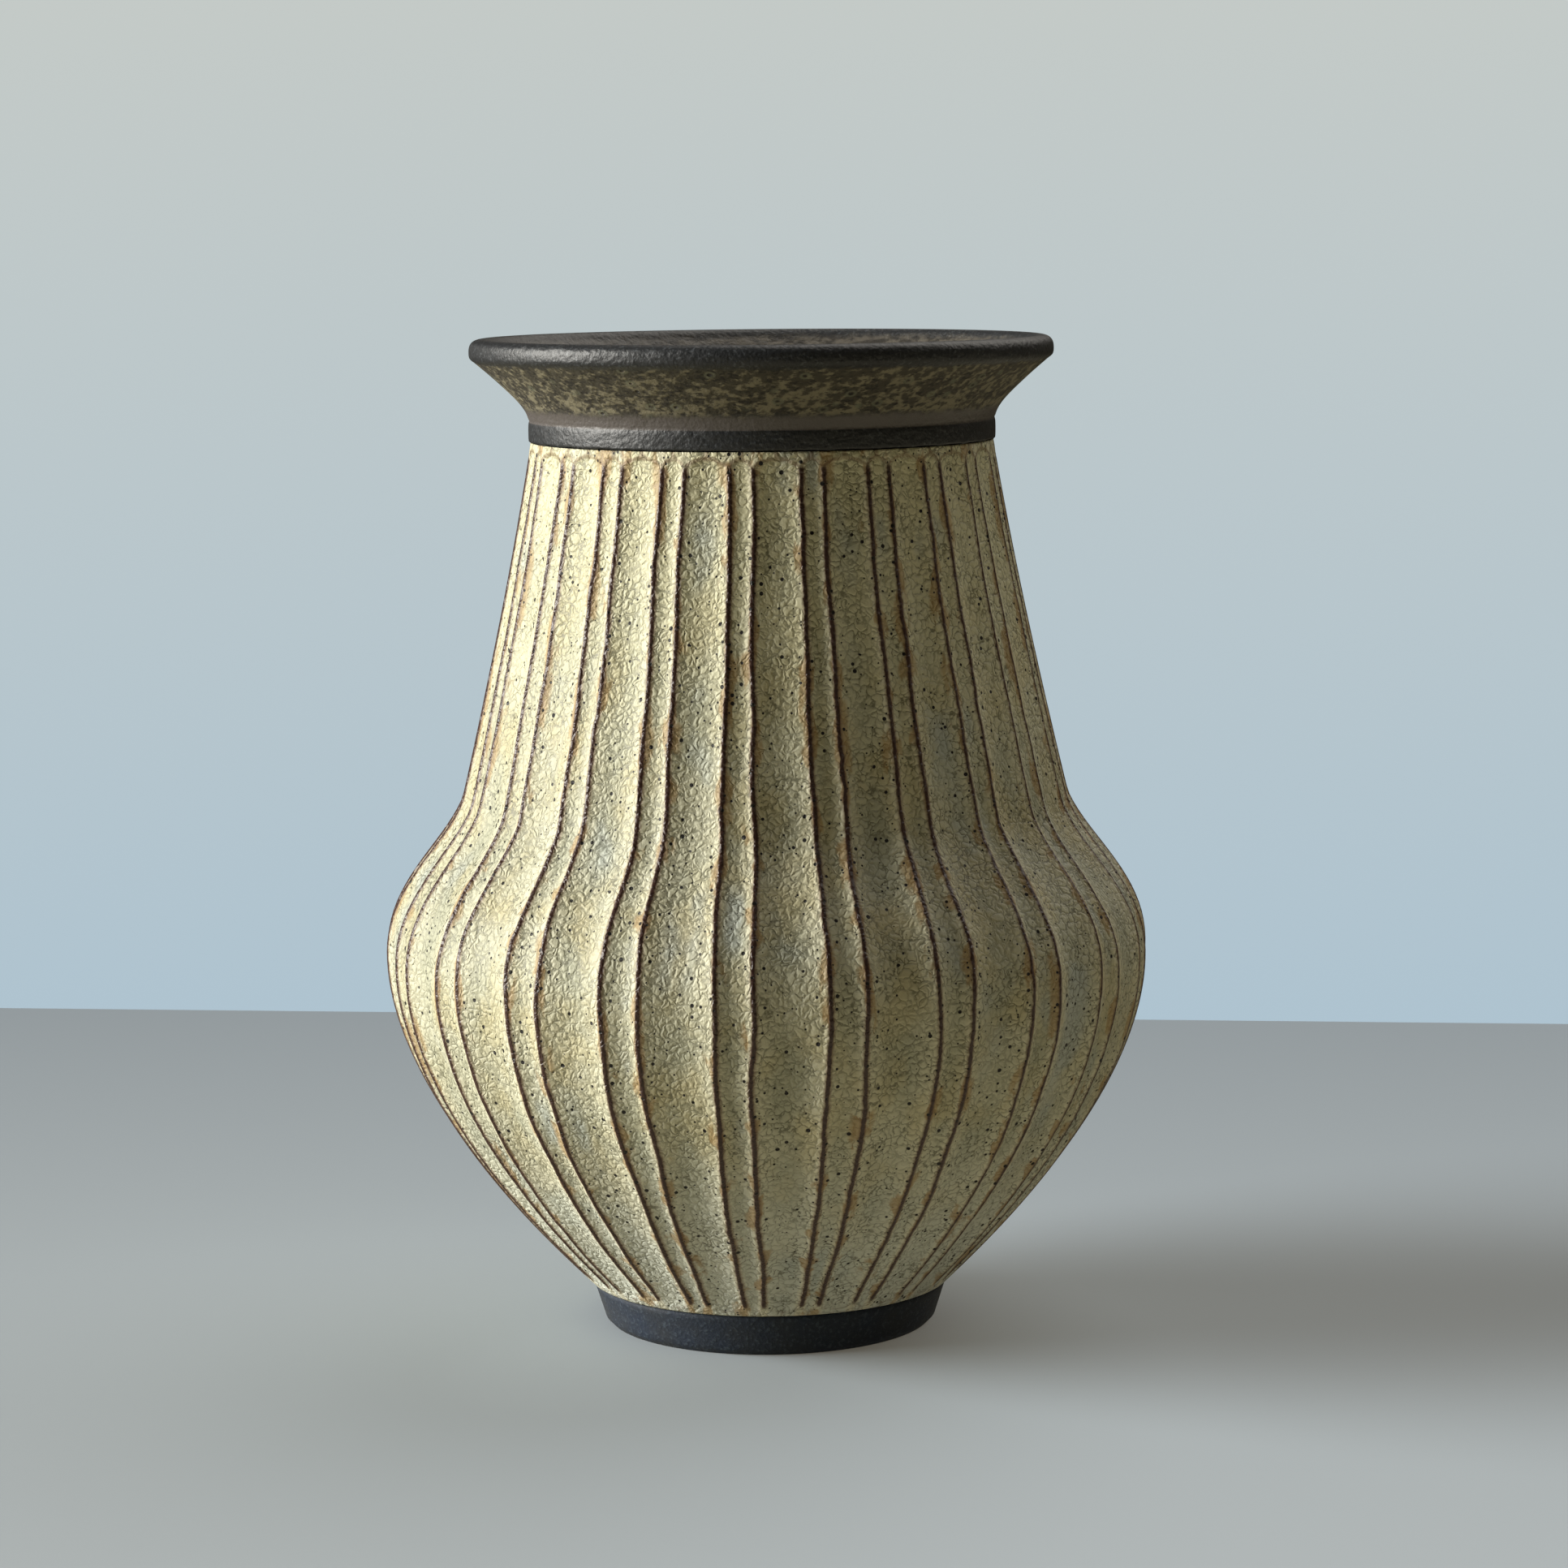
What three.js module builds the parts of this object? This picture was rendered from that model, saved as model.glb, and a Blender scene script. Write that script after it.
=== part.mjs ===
// A hand-thrown stoneware vase: a dark clay pot with a carved, fluted body under a cream matte
// glaze, a bare turned foot, and a flared rim under a dark satin glaze.
//
// Millimetres, +Z up. The vase stands on z = 0 and its axis of turning is the Z axis.
// Every wall is described by one line in the (radius, height) plane, drawn up the outside of the
// finished vase. The layers below it (glaze, clay, inner glaze) are offsets of that line.

import * as THREE from 'three';

// ---- Driving dimensions -------------------------------------------------------------------

const HEIGHT = 228;

// Foot: a bare cone, narrower at the floor, hollowed underneath.
const FOOT_HEIGHT = 10;
const FOOT_FLOOR_RADIUS = 38.6;
const FOOT_TOP_RADIUS = 41.3;
const FOOT_EDGE_ROUND = 1.2;
const FOOT_RING_WIDTH = 7;
const FOOT_RECESS_DEPTH = 5;
const FLOOR_TOP = 11.5;

// Body outline, on the crests of the ridges.
const GLAZE_LINE_RADIUS = 42;
const BELLY_RADIUS = 87.7;
const BELLY_HEIGHT = 88;
const CREASE_RADIUS = 70;
const CREASE_HEIGHT = 123;
const NECK_RADIUS = 52.8;
const NECK_HEIGHT = 204.5;
const NECK_BOW = 0.6;

// How the body's curves leave and meet their ends: a lean from upright, in degrees, and a reach.
const BASE_LEAN = 45;
const BASE_REACH = 21.6;
const BELLY_REACH_BELOW = 30.5;
const BELLY_REACH_ABOVE = 15.5;
const CREASE_LEAN = 23;
const CREASE_REACH = 11.7;

// Collar and flared rim.
const COLLAR_RADIUS = 53.2;
const COLLAR_TOP = 209;
const FLARE_REACH_BELOW = 4.4;
const FLARE_LEAN = 48;
const FLARE_REACH_ABOVE = 6;
const LIP_UNDERSIDE_RADIUS = 65.8;
const LIP_UNDERSIDE_HEIGHT = 223.2;
const LIP_RADIUS = 66.5;
const LIP_MIDDLE_HEIGHT = 225.2;
const LIP_CREST_RADIUS = 63.4;
const LIP_INSIDE_RADIUS = 60.6;
const LIP_INSIDE_HEIGHT = 226.4;
const LIP_INSIDE_REACH = 1.2;
const THROAT_STRIP = 2.5; // above the collar, inside, where the rim glaze stops short

// Layers. Neighbouring pieces keep a thin gap, as slip and glaze would fill.
const GLAZE = 0.8;
const WALL = 6;
const GAP = 0.3;
const CLAY_FACE = GLAZE + GAP;
const CLAY_BACK = CLAY_FACE + WALL;
const LINER_FACE = CLAY_BACK + GAP;
const LINER_BACK = LINER_FACE + GLAZE;

// Flutes: wide and narrow by turns, all round the body, between two plain bands.
const FLUTE_PAIRS = 22;
const NARROW_FLUTE_ANGLE = 5.5;
const FIRST_FLUTE_ANGLE = -97.5;
const WIDE_FLUTE_DEPTH = 1.5;
const NARROW_FLUTE_DEPTH = 0.9;
const PLAIN_BAND = 2.6;
const FLUTE_RUN_IN = 3.5;

// Fineness of the meshes.
const PLAIN_COLUMNS = 44;
const BELLY_STEPS = 4;
const SHOULDER_STEPS = 3;
const NECK_STEPS = 3;
const FLARE_STEPS = 4;
const LIP_STEPS = 2;

// ---- Lines --------------------------------------------------------------------------------

const at = (radius, height) => new THREE.Vector2(radius, height);
const lean = (degrees, reach) => {
  const angle = THREE.MathUtils.degToRad(degrees);
  return at(Math.sin(angle) * reach, Math.cos(angle) * reach);
};
const spread = (from, to, steps) =>
  Array.from({ length: steps }, (_, i) => from + ((to - from) * (i + 1)) / steps);

function joined(...curves) {
  const path = new THREE.CurvePath();
  curves.forEach((curve) => path.add(curve));
  return path;
}

// A point on a line at a distance along it, with the direction that faces out of the clay.
// The direction is averaged over a short stretch, so that a corner gets one shared direction.
function station(path, distance) {
  const length = path.getLength();
  const point = (d) => path.getPoint(THREE.MathUtils.clamp(d, 0, length) / length);
  const along = point(distance + GAP * 3).sub(point(distance - GAP * 3)).normalize();
  return { distance, at: point(distance), out: at(along.y, -along.x) };
}

const inward = (place, depth) => place.at.clone().addScaledVector(place.out, -depth);

const glazeLine = at(GLAZE_LINE_RADIUS, FOOT_HEIGHT);
const bellyPoint = at(BELLY_RADIUS, BELLY_HEIGHT);
const crease = at(CREASE_RADIUS, CREASE_HEIGHT);
const neckTop = at(NECK_RADIUS, NECK_HEIGHT);

const belly = new THREE.CubicBezierCurve(
  glazeLine,
  glazeLine.clone().add(lean(BASE_LEAN, BASE_REACH)),
  bellyPoint.clone().sub(at(0, BELLY_REACH_BELOW)),
  bellyPoint,
);
const shoulder = new THREE.CubicBezierCurve(
  bellyPoint,
  bellyPoint.clone().add(at(0, BELLY_REACH_ABOVE)),
  crease.clone().sub(lean(-CREASE_LEAN, CREASE_REACH)),
  crease,
);
const neck = new THREE.QuadraticBezierCurve(
  crease,
  crease.clone().lerp(neckTop, 0.5).sub(at(NECK_BOW * 2, 0)),
  neckTop,
);

const bodyLine = joined(belly, shoulder, neck);
const bodyLength = bodyLine.getLength();
const bellyDistance = belly.getLength();
const creaseDistance = bellyDistance + shoulder.getLength();
const fluteStart = PLAIN_BAND + FLUTE_RUN_IN;
const fluteEnd = bodyLength - fluteStart;

// Distances up the body: the two edges of each plain band, and a few steps along each curve.
const lowerDistances = [
  0,
  PLAIN_BAND,
  fluteStart,
  ...spread(fluteStart, bellyDistance, BELLY_STEPS),
  ...spread(bellyDistance, creaseDistance, SHOULDER_STEPS),
];
const neckDistances = [
  creaseDistance,
  ...spread(creaseDistance, fluteEnd, NECK_STEPS),
  bodyLength - PLAIN_BAND,
  bodyLength,
];

function stationsAt(distances) {
  const stations = distances.map((distance) => station(bodyLine, distance));
  const top = stations.at(-1);
  if (top.distance === bodyLength) top.out.set(1, 0);
  return stations;
}

const lipMiddle = at(LIP_RADIUS, LIP_MIDDLE_HEIGHT);
const lipUnderside = at(LIP_UNDERSIDE_RADIUS, LIP_UNDERSIDE_HEIGHT);
const lipCrest = at(LIP_CREST_RADIUS, HEIGHT);
const lipInside = at(LIP_INSIDE_RADIUS, LIP_INSIDE_HEIGHT);
const throatRadius = COLLAR_RADIUS - LINER_BACK;
const throatTop = at(throatRadius, COLLAR_TOP);
const collarTop = at(COLLAR_RADIUS, COLLAR_TOP);

const collarLine = new THREE.LineCurve(at(COLLAR_RADIUS, NECK_HEIGHT + GAP), collarTop);
const flare = new THREE.CubicBezierCurve(
  collarTop,
  collarTop.clone().add(at(0, FLARE_REACH_BELOW)),
  lipUnderside.clone().sub(lean(FLARE_LEAN, FLARE_REACH_ABOVE)),
  lipUnderside,
);
const lipOutside = new THREE.QuadraticBezierCurve(
  lipUnderside,
  at(LIP_RADIUS, (LIP_UNDERSIDE_HEIGHT + LIP_MIDDLE_HEIGHT) / 2),
  lipMiddle,
);
const lipTop = new THREE.QuadraticBezierCurve(lipMiddle, at(LIP_RADIUS, HEIGHT), lipCrest);
const lipFall = new THREE.QuadraticBezierCurve(
  lipCrest,
  at(LIP_INSIDE_RADIUS + LIP_INSIDE_REACH, HEIGHT),
  lipInside,
);
const innerFlare = new THREE.CubicBezierCurve(
  lipInside,
  lipInside.clone().sub(lean(FLARE_LEAN, FLARE_REACH_ABOVE)),
  throatTop.clone().add(at(0, FLARE_REACH_BELOW)),
  throatTop,
);

const flareAndLip = [
  [flare, FLARE_STEPS],
  [lipOutside, LIP_STEPS],
  [lipTop, LIP_STEPS],
  [lipFall, LIP_STEPS],
  [innerFlare, FLARE_STEPS],
];

// ---- Shells -------------------------------------------------------------------------------

function turned(points) {
  return new THREE.LatheGeometry(points, PLAIN_COLUMNS).rotateX(Math.PI / 2);
}

function closedRing(front, back) {
  return [...front, ...back.toReversed(), front[0]];
}

// The angle and the depth of cut of each column of a fluted wall. A flute is a shallow hollow
// between two ridges: two columns inside a wide one, and one inside a narrow one.
function fluteColumns() {
  const pair = 360 / FLUTE_PAIRS;
  const wide = pair - NARROW_FLUTE_ANGLE;
  const hollow = (share) => 4 * share * (1 - share);
  const third = 1 / 3;
  const columns = [];
  for (let i = 0; i < FLUTE_PAIRS; i += 1) {
    const start = FIRST_FLUTE_ANGLE + i * pair;
    const wideStart = start + NARROW_FLUTE_ANGLE;
    columns.push(
      { angle: start, depth: 0 },
      { angle: start + NARROW_FLUTE_ANGLE / 2, depth: NARROW_FLUTE_DEPTH },
      { angle: wideStart, depth: 0 },
      { angle: wideStart + wide * third, depth: WIDE_FLUTE_DEPTH * hollow(third) },
      { angle: wideStart + wide * (1 - third), depth: WIDE_FLUTE_DEPTH * hollow(third) },
    );
  }
  return columns;
}

// How much of the full cut a flute has at a distance up the body: none in the plain bands.
function cutShare(distance) {
  const fromEdge = Math.min(distance, bodyLength - distance) - PLAIN_BAND;
  return THREE.MathUtils.clamp(fromEdge / FLUTE_RUN_IN, 0, 1);
}

// The back's rows run the other way to the face's, so its quads are cut along the other diagonal.
// Two carved skins that lie against each other then bend along the same edges.
function matchedFaces(columnCount, rowCount, faceRows) {
  const faces = [];
  for (let column = 0; column < columnCount; column += 1) {
    for (let row = 0; row < rowCount - 1; row += 1) {
      const a = column * rowCount + row;
      const b = a + rowCount;
      const [c, d] = [b + 1, a + 1];
      if (row < faceRows) faces.push(a, b, d, c, d, b);
      else faces.push(a, b, c, a, c, d);
    }
  }
  return faces;
}

// A ring of wall turned on the lathe and then carved: its face carries the flutes, its back
// doesn't unless the wall is a skin that follows them.
function carvedWall(stations, faceDepth, backDepth, backFollows) {
  const columns = fluteColumns();
  const layer = (depth, carved) =>
    stations.map((place) => ({
      point: inward(place, depth),
      out: place.out,
      cut: carved ? (cutShare(place.distance) * place.at.x) / BELLY_RADIUS : 0,
    }));
  const outline = closedRing(layer(faceDepth, true), layer(backDepth, backFollows));
  const wall = new THREE.LatheGeometry(outline.map((place) => place.point), columns.length);
  const position = wall.attributes.position;
  for (let column = 0; column <= columns.length; column += 1) {
    const { angle, depth } = columns[column % columns.length];
    const turn = THREE.MathUtils.degToRad(angle);
    outline.forEach(({ point, out, cut }, row) => {
      const carved = point.clone().addScaledVector(out, -depth * cut);
      const index = column * outline.length + row;
      position.setXYZ(index, carved.x * Math.cos(turn), carved.x * Math.sin(turn), carved.y);
    });
  }
  wall.setIndex(matchedFaces(columns.length, outline.length, stations.length));
  wall.computeVertexNormals();
  return wall;
}

// Stations along some curves, a number of steps on each, stopping short of the last one's end.
function rimStations(parts, short) {
  const line = joined(...parts.map(([curve]) => curve));
  const ends = [0, ...line.getCurveLengths()];
  ends[parts.length] -= short;
  const distances = parts.flatMap(([, steps], i) => spread(ends[i], ends[i + 1], steps));
  return [0, ...distances].map((distance) => station(line, distance));
}

// ---- Pieces -------------------------------------------------------------------------------

const lowerStations = stationsAt(lowerDistances);
const neckStations = stationsAt(neckDistances);
const bodyStations = [...lowerStations, ...neckStations.slice(1)];

// The foot and floor in one piece: a turned disc with a ring left standing below it.
function turnedFoot() {
  const seat = station(bodyLine, 0);
  const along = at(-seat.out.y, seat.out.x).multiplyScalar(GAP);
  const seatInside = inward(seat, CLAY_BACK).sub(along);
  const seatOutside = inward(seat, GLAZE).sub(along);
  const ringInside = FOOT_FLOOR_RADIUS - FOOT_RING_WIDTH;
  return turned([
    at(0, FOOT_RECESS_DEPTH),
    at(ringInside - FOOT_EDGE_ROUND, FOOT_RECESS_DEPTH),
    at(ringInside, FOOT_EDGE_ROUND),
    at(ringInside + FOOT_EDGE_ROUND, 0),
    at(FOOT_FLOOR_RADIUS - FOOT_EDGE_ROUND, 0),
    at(FOOT_FLOOR_RADIUS, FOOT_EDGE_ROUND),
    at(FOOT_TOP_RADIUS, seatOutside.y - GAP),
    seatOutside,
    seatInside,
    at(seatInside.x - (seatInside.y - FLOOR_TOP), FLOOR_TOP),
    at(0, FLOOR_TOP),
  ]);
}

function lowerWall() {
  const stations = stationsAt([...lowerDistances.slice(0, -1), creaseDistance - GAP / 2]);
  return carvedWall(stations, CLAY_FACE, CLAY_BACK, false);
}

function neckWall() {
  const stations = stationsAt([creaseDistance + GAP / 2, ...neckDistances.slice(1)]);
  return carvedWall(stations, CLAY_FACE, CLAY_BACK, false);
}

function creamGlaze() {
  return carvedWall(bodyStations, 0, GLAZE, true);
}

function collarBand() {
  const outside = COLLAR_RADIUS - CLAY_FACE;
  const inside = COLLAR_RADIUS - CLAY_BACK;
  const bottom = NECK_HEIGHT + GAP;
  const top = COLLAR_TOP - GAP / 2;
  const outer = [at(outside, bottom), at(outside, top)];
  const inner = [at(inside, bottom), at(inside, top)];
  return turned(closedRing(outer, inner));
}

function flaredRim() {
  const outline = rimStations(flareAndLip, 0);
  const points = outline.map((place) => inward(place, CLAY_FACE));
  const bottom = COLLAR_TOP + GAP / 2;
  points[0].y = bottom;
  points[points.length - 1].set(COLLAR_RADIUS - CLAY_BACK, bottom);
  return turned([...points, points[0]]);
}

function rimGlaze() {
  const outline = rimStations([[collarLine, 1], ...flareAndLip], THROAT_STRIP);
  const face = outline.map((place) => inward(place, 0));
  const back = outline.map((place) => inward(place, GLAZE));
  return turned(closedRing(face, back));
}

// The glaze inside: poured in, it covers the floor, the wall and the throat up to the rim glaze.
function linerGlaze() {
  const throatEnd = COLLAR_TOP + THROAT_STRIP - 2 * GAP;
  const cornerShift = Math.SQRT1_2 * GLAZE;
  const wallSide = bodyStations.map((place) => inward(place, LINER_FACE));
  const roomSide = bodyStations.map((place) => inward(place, LINER_BACK));
  const floorSide = FLOOR_TOP + GAP;
  const corner = wallSide[0];
  const outside = [
    at(0, floorSide),
    at(corner.x - (corner.y - floorSide), floorSide),
    ...wallSide,
    at(throatRadius + GLAZE, throatEnd),
  ];
  const inside = [
    at(0, floorSide + GLAZE),
    at(corner.x - (corner.y - floorSide) - cornerShift, floorSide + GLAZE),
    ...roomSide,
    at(throatRadius, throatEnd),
  ];
  return turned([...outside, ...inside.toReversed()]);
}

const darkClay = () => new THREE.MeshStandardMaterial({ color: '#2f3035', roughness: 0.9 });

const vase = new THREE.Group();

function add(name, geometry, material) {
  const piece = new THREE.Mesh(geometry, material);
  piece.name = name;
  vase.add(piece);
}

add('turned_foot', turnedFoot(), darkClay());
add('lower_wall', lowerWall(), darkClay());
add('neck_wall', neckWall(), darkClay());
add('collar_band', collarBand(), darkClay());
add('flared_rim', flaredRim(), darkClay());
add('cream_glaze', creamGlaze(), new THREE.MeshStandardMaterial({ color: '#d6cfae', roughness: 0.6 }));
add('rim_glaze', rimGlaze(), new THREE.MeshStandardMaterial({ color: '#3b3632', roughness: 0.4 }));
add('liner_glaze', linerGlaze(), new THREE.MeshStandardMaterial({ color: '#5b544a', roughness: 0.5 }));

export default vase;
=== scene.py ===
# %% [markdown]
# # A fluted stoneware vase
#
# This script finishes a hand-thrown vase: a dark clay pot whose body was carved with long hollows,
# or flutes, and dipped in a cream matte glaze, with a bare foot below and a flared rim above under
# a dark satin glaze.
#
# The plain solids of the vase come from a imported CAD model, which is loaded first and never
# changed. The four surfaces that can be seen are then made again as fine meshes: the cream coat,
# the rim coat, the coat inside and the bare foot. The clay walls between them stay as they are.

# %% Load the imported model
import math

import bpy
import numpy as np
from mathutils import Matrix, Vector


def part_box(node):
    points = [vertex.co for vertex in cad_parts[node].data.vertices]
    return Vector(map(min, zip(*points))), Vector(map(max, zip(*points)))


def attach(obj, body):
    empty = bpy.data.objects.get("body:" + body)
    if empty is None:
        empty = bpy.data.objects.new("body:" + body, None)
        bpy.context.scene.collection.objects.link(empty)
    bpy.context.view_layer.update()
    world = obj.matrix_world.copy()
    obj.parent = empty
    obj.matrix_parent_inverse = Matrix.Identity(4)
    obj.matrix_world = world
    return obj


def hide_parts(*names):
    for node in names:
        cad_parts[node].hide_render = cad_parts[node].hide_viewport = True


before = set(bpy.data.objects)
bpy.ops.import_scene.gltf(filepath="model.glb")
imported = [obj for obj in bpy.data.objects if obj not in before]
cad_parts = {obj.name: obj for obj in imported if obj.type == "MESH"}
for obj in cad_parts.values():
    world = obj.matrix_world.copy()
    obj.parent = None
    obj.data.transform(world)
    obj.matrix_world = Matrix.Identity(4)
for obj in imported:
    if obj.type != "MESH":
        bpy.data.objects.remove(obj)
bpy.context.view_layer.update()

print("clay and glaze solids:", sorted(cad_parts))

# %% [markdown]
# ## Sizes
#
# A potter thinks in millimetres and Blender in metres, so the sizes below are written in
# millimetres and turned to metres only when a mesh is made. The heights where one surface gives
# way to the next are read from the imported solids, so that the new skins meet where the old ones do.

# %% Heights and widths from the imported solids
MM = 0.001


def node_box(name):
    """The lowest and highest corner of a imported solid, in millimetres."""
    low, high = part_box(name)
    return np.array(low) / MM, np.array(high) / MM


cream_low, cream_high = node_box("cream_glaze")
rim_low, rim_high = node_box("rim_glaze")
liner_low, _ = node_box("liner_glaze")

GLAZE_LINE = cream_low[2]
NECK_TOP = cream_high[2]
BELLY_RADIUS = cream_high[0]
COLLAR_BOTTOM = rim_low[2]
LIP_TOP = rim_high[2]
LIP_RADIUS = rim_high[0]
print(f"cream coat from {GLAZE_LINE:.1f} to {NECK_TOP:.1f} mm, {BELLY_RADIUS * 2:.1f} mm wide")
print(f"rim coat from {COLLAR_BOTTOM:.1f} to {LIP_TOP:.1f} mm, {LIP_RADIUS * 2:.1f} mm wide")

# %% [markdown]
# ## The line of the pot
#
# A pot thrown on a wheel is one line turned about an axis. The line could be traced by hand as a
# curve object and spun with a Screw modifier, but the flutes have to be cut into it afterwards, so
# here it is worked out as points. Each stretch is a Bezier curve: two ends, and one or two corners
# between them that pull it. Every point has a radius and a height.

# %% Curves as points
CURVE_STEPS = 160


def curve(*corners):
    """Points along a Bezier curve with these corners, found by blending them pair by pair."""
    share = np.linspace(0, 1, CURVE_STEPS + 1)[:, None]
    layer = [np.array([corner], float) for corner in corners]
    while len(layer) > 1:
        layer = [near * (1 - share) + far * share for near, far in zip(layer, layer[1:])]
    return layer[0]


def joined(*stretches):
    """One line from several stretches that meet end to end."""
    return np.vstack([stretches[0]] + [stretch[1:] for stretch in stretches[1:]])


def distances_along(line):
    """How far along the line each of its points is."""
    steps = np.linalg.norm(np.diff(line, axis=0), axis=1)
    return np.concatenate([[0], np.cumsum(steps)])


def places(line, distances):
    """Points at these distances along the line, and the direction out of the clay at each."""
    known = distances_along(line)
    at = np.stack([np.interp(distances, known, line[:, i]) for i in (0, 1)], axis=1)
    slope = np.gradient(line, known, axis=0)
    along = np.stack([np.interp(distances, known, slope[:, i]) for i in (0, 1)], axis=1)
    along /= np.linalg.norm(along, axis=1)[:, None]
    return at, np.stack([along[:, 1], -along[:, 0]], axis=1)


def lean(degrees, reach):
    """A step of this length that leans out from upright by some degrees."""
    return np.array([math.sin(math.radians(degrees)), math.cos(math.radians(degrees))]) * reach


print("a 10 mm step that leans out by 30 degrees:", lean(30, 10).round(2))

# %% The body line
GLAZE_LINE_RADIUS = 42
BELLY_HEIGHT = 88
CREASE_RADIUS = 70
CREASE_HEIGHT = 123
NECK_RADIUS = 52.8
NECK_BOW = 0.6
BASE_LEAN, BASE_REACH = 45, 21.6
BELLY_REACH_BELOW, BELLY_REACH_ABOVE = 30.5, 15.5
CREASE_LEAN, CREASE_REACH = -23, 11.7

glaze_line = np.array([GLAZE_LINE_RADIUS, GLAZE_LINE])
belly = np.array([BELLY_RADIUS, BELLY_HEIGHT])
crease = np.array([CREASE_RADIUS, CREASE_HEIGHT])
neck_top = np.array([NECK_RADIUS, NECK_TOP])

lower_body = curve(
    glaze_line,
    glaze_line + lean(BASE_LEAN, BASE_REACH),
    belly - lean(0, BELLY_REACH_BELOW),
    belly,
)
shoulder = curve(
    belly,
    belly + lean(0, BELLY_REACH_ABOVE),
    crease - lean(CREASE_LEAN, CREASE_REACH),
    crease,
)
neck = curve(crease, (crease + neck_top) / 2 - [NECK_BOW * 2, 0], neck_top)
body_line = joined(lower_body, shoulder, neck)
body_length = distances_along(body_line)[-1]
print(f"the body line is {body_length:.1f} mm long")

# %% [markdown]
# ## Carving the flutes
#
# The carver pulled a round-ended tool up the leather-hard pot: a wide hollow, a narrow one, and so
# on all the way round, twenty-two of each. Where two hollows meet they leave a sharp ridge.
# No ridge is quite straight: the hand drifts by a fraction of a degree, and here and there the tool
# catches and leaves a small kink. Each ridge therefore gets a path of its own, from a few slow
# waves with random starts. A fixed seed makes the same vase every time.
#
# Each wave below is a length and a size. Ridges drift by degrees, and all other waves are in
# millimetres.

# %% The path of each ridge
FLUTE_PAIRS = 22
NARROW_FLUTE_ANGLE = 5.5
FIRST_RIDGE_ANGLE = -97.5
DRIFT_WAVES = ((88, 0.24), (41, 0.15), (19, 0.07))
TREMOR_WAVES = ((8.3, 0.03), (4.6, 0.018))
STRETCH_RANGE = (0.8, 1.25)
HEIGHT_RANGE = (0.5, 1.4)
KINKS_PER_RIDGE = 3
KINK_ZONE = (0.08, 0.92)
KINK_SIZE = 0.42
KINK_REACH = 1.6
SEED = 22

dice = np.random.default_rng(SEED)
ridge_count = FLUTE_PAIRS * 2
pair_angle = 360 / FLUTE_PAIRS


def waves(distances, lengths_and_sizes, rows):
    """Several slow waves along the body for each of some rows, each wave with a random start."""
    total = np.zeros((rows, len(distances)))
    for length, size in lengths_and_sizes:
        start = dice.uniform(0, 2 * math.pi, (rows, 1))
        stretch = dice.uniform(*STRETCH_RANGE, (rows, 1))
        height = dice.uniform(*HEIGHT_RANGE, (rows, 1)) * size
        total += height * np.sin(distances * 2 * math.pi / (length * stretch) + start)
    return total


def ridge_paths(distances, radii):
    """The angle of each ridge, in degrees, at each distance up the body."""
    starts = FIRST_RIDGE_ANGLE + np.arange(FLUTE_PAIRS) * pair_angle
    straight = np.stack([starts, starts + NARROW_FLUTE_ANGLE], axis=1).reshape(-1, 1)
    paths = straight + waves(distances, DRIFT_WAVES, ridge_count)
    paths += waves(distances, TREMOR_WAVES, ridge_count)
    degrees_per_mm = np.degrees(1 / radii)
    for path in paths:
        for _ in range(KINKS_PER_RIDGE):
            middle = dice.uniform(*KINK_ZONE) * body_length
            size = dice.uniform(-1, 1) * KINK_SIZE
            away = (distances - middle) / KINK_REACH
            path += size * degrees_per_mm * np.exp(-away * away)
    return paths


print(f"{ridge_count} ridges, a wide and a narrow flute every {pair_angle:.1f} degrees")

# %% [markdown]
# A cut across a flute is a shallow arch upside down: nothing at the ridges and deepest in the
# middle. Towards both ends of the body the tool runs out of the clay, so the whole arch is lifted
# until only its middle still cuts, and that draws the round top of every flute. The cut also gets
# shallower there, over a longer stretch.

# %% The depth of the cut
WIDE_FLUTE_DEPTH = 1.9
NARROW_FLUTE_DEPTH = 1.15
TOP_BAND = 1.5
BOTTOM_BAND = 1.8
RUN_OUT = 2.8
LEAST_ARCH = 0.2
END_DEPTH = 0.5
DEEPEN = 5
DEPTH_WAVES = ((70, 0.07), (31, 0.05))


def past_flute_end(distances):
    """How far inside the nearer end of the flutes these distances along the body are."""
    return np.minimum(distances - BOTTOM_BAND, body_length - TOP_BAND - distances)


def run_out_lift(distances):
    """How far the arch is lifted, as a share of the full depth, near the ends of the flutes."""
    return (1 - np.clip(past_flute_end(distances) / RUN_OUT, 0, 1)) ** 2


def end_fade(distances):
    """The share of the full depth that the tool reaches: half at the ends, all of it further in."""
    share = np.clip(past_flute_end(distances) / DEEPEN, 0, 1)
    return END_DEPTH + (1 - END_DEPTH) * share * share * (3 - 2 * share)


def cut_depth(share_across, full_depth, lift):
    """The depth of a cut at a share of the way across a flute."""
    arch = 4 * share_across * (1 - share_across)
    return full_depth * np.maximum(arch - lift, 0) / np.maximum(1 - lift, LEAST_ARCH)


quarter_depth = cut_depth(0.25, WIDE_FLUTE_DEPTH, 0)
print(f"a quarter of the way across a wide flute the cut is {quarter_depth:.2f} mm deep")

# %% [markdown]
# ## A skin of quads
#
# A glaze is a thin coat, so each coat is a closed skin with a face and a back. The face is a grid
# of points, rows up the pot and columns around it, close enough together for the carving to be
# real shape and not only shading. The back is never seen, so it takes every fourth point. Blender
# can keep extra values, here called marks, at each point or at each corner of a face; these are
# how the materials later know where a ridge is.

# %% Making a closed skin
BACK_STRIDE = 4


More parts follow.
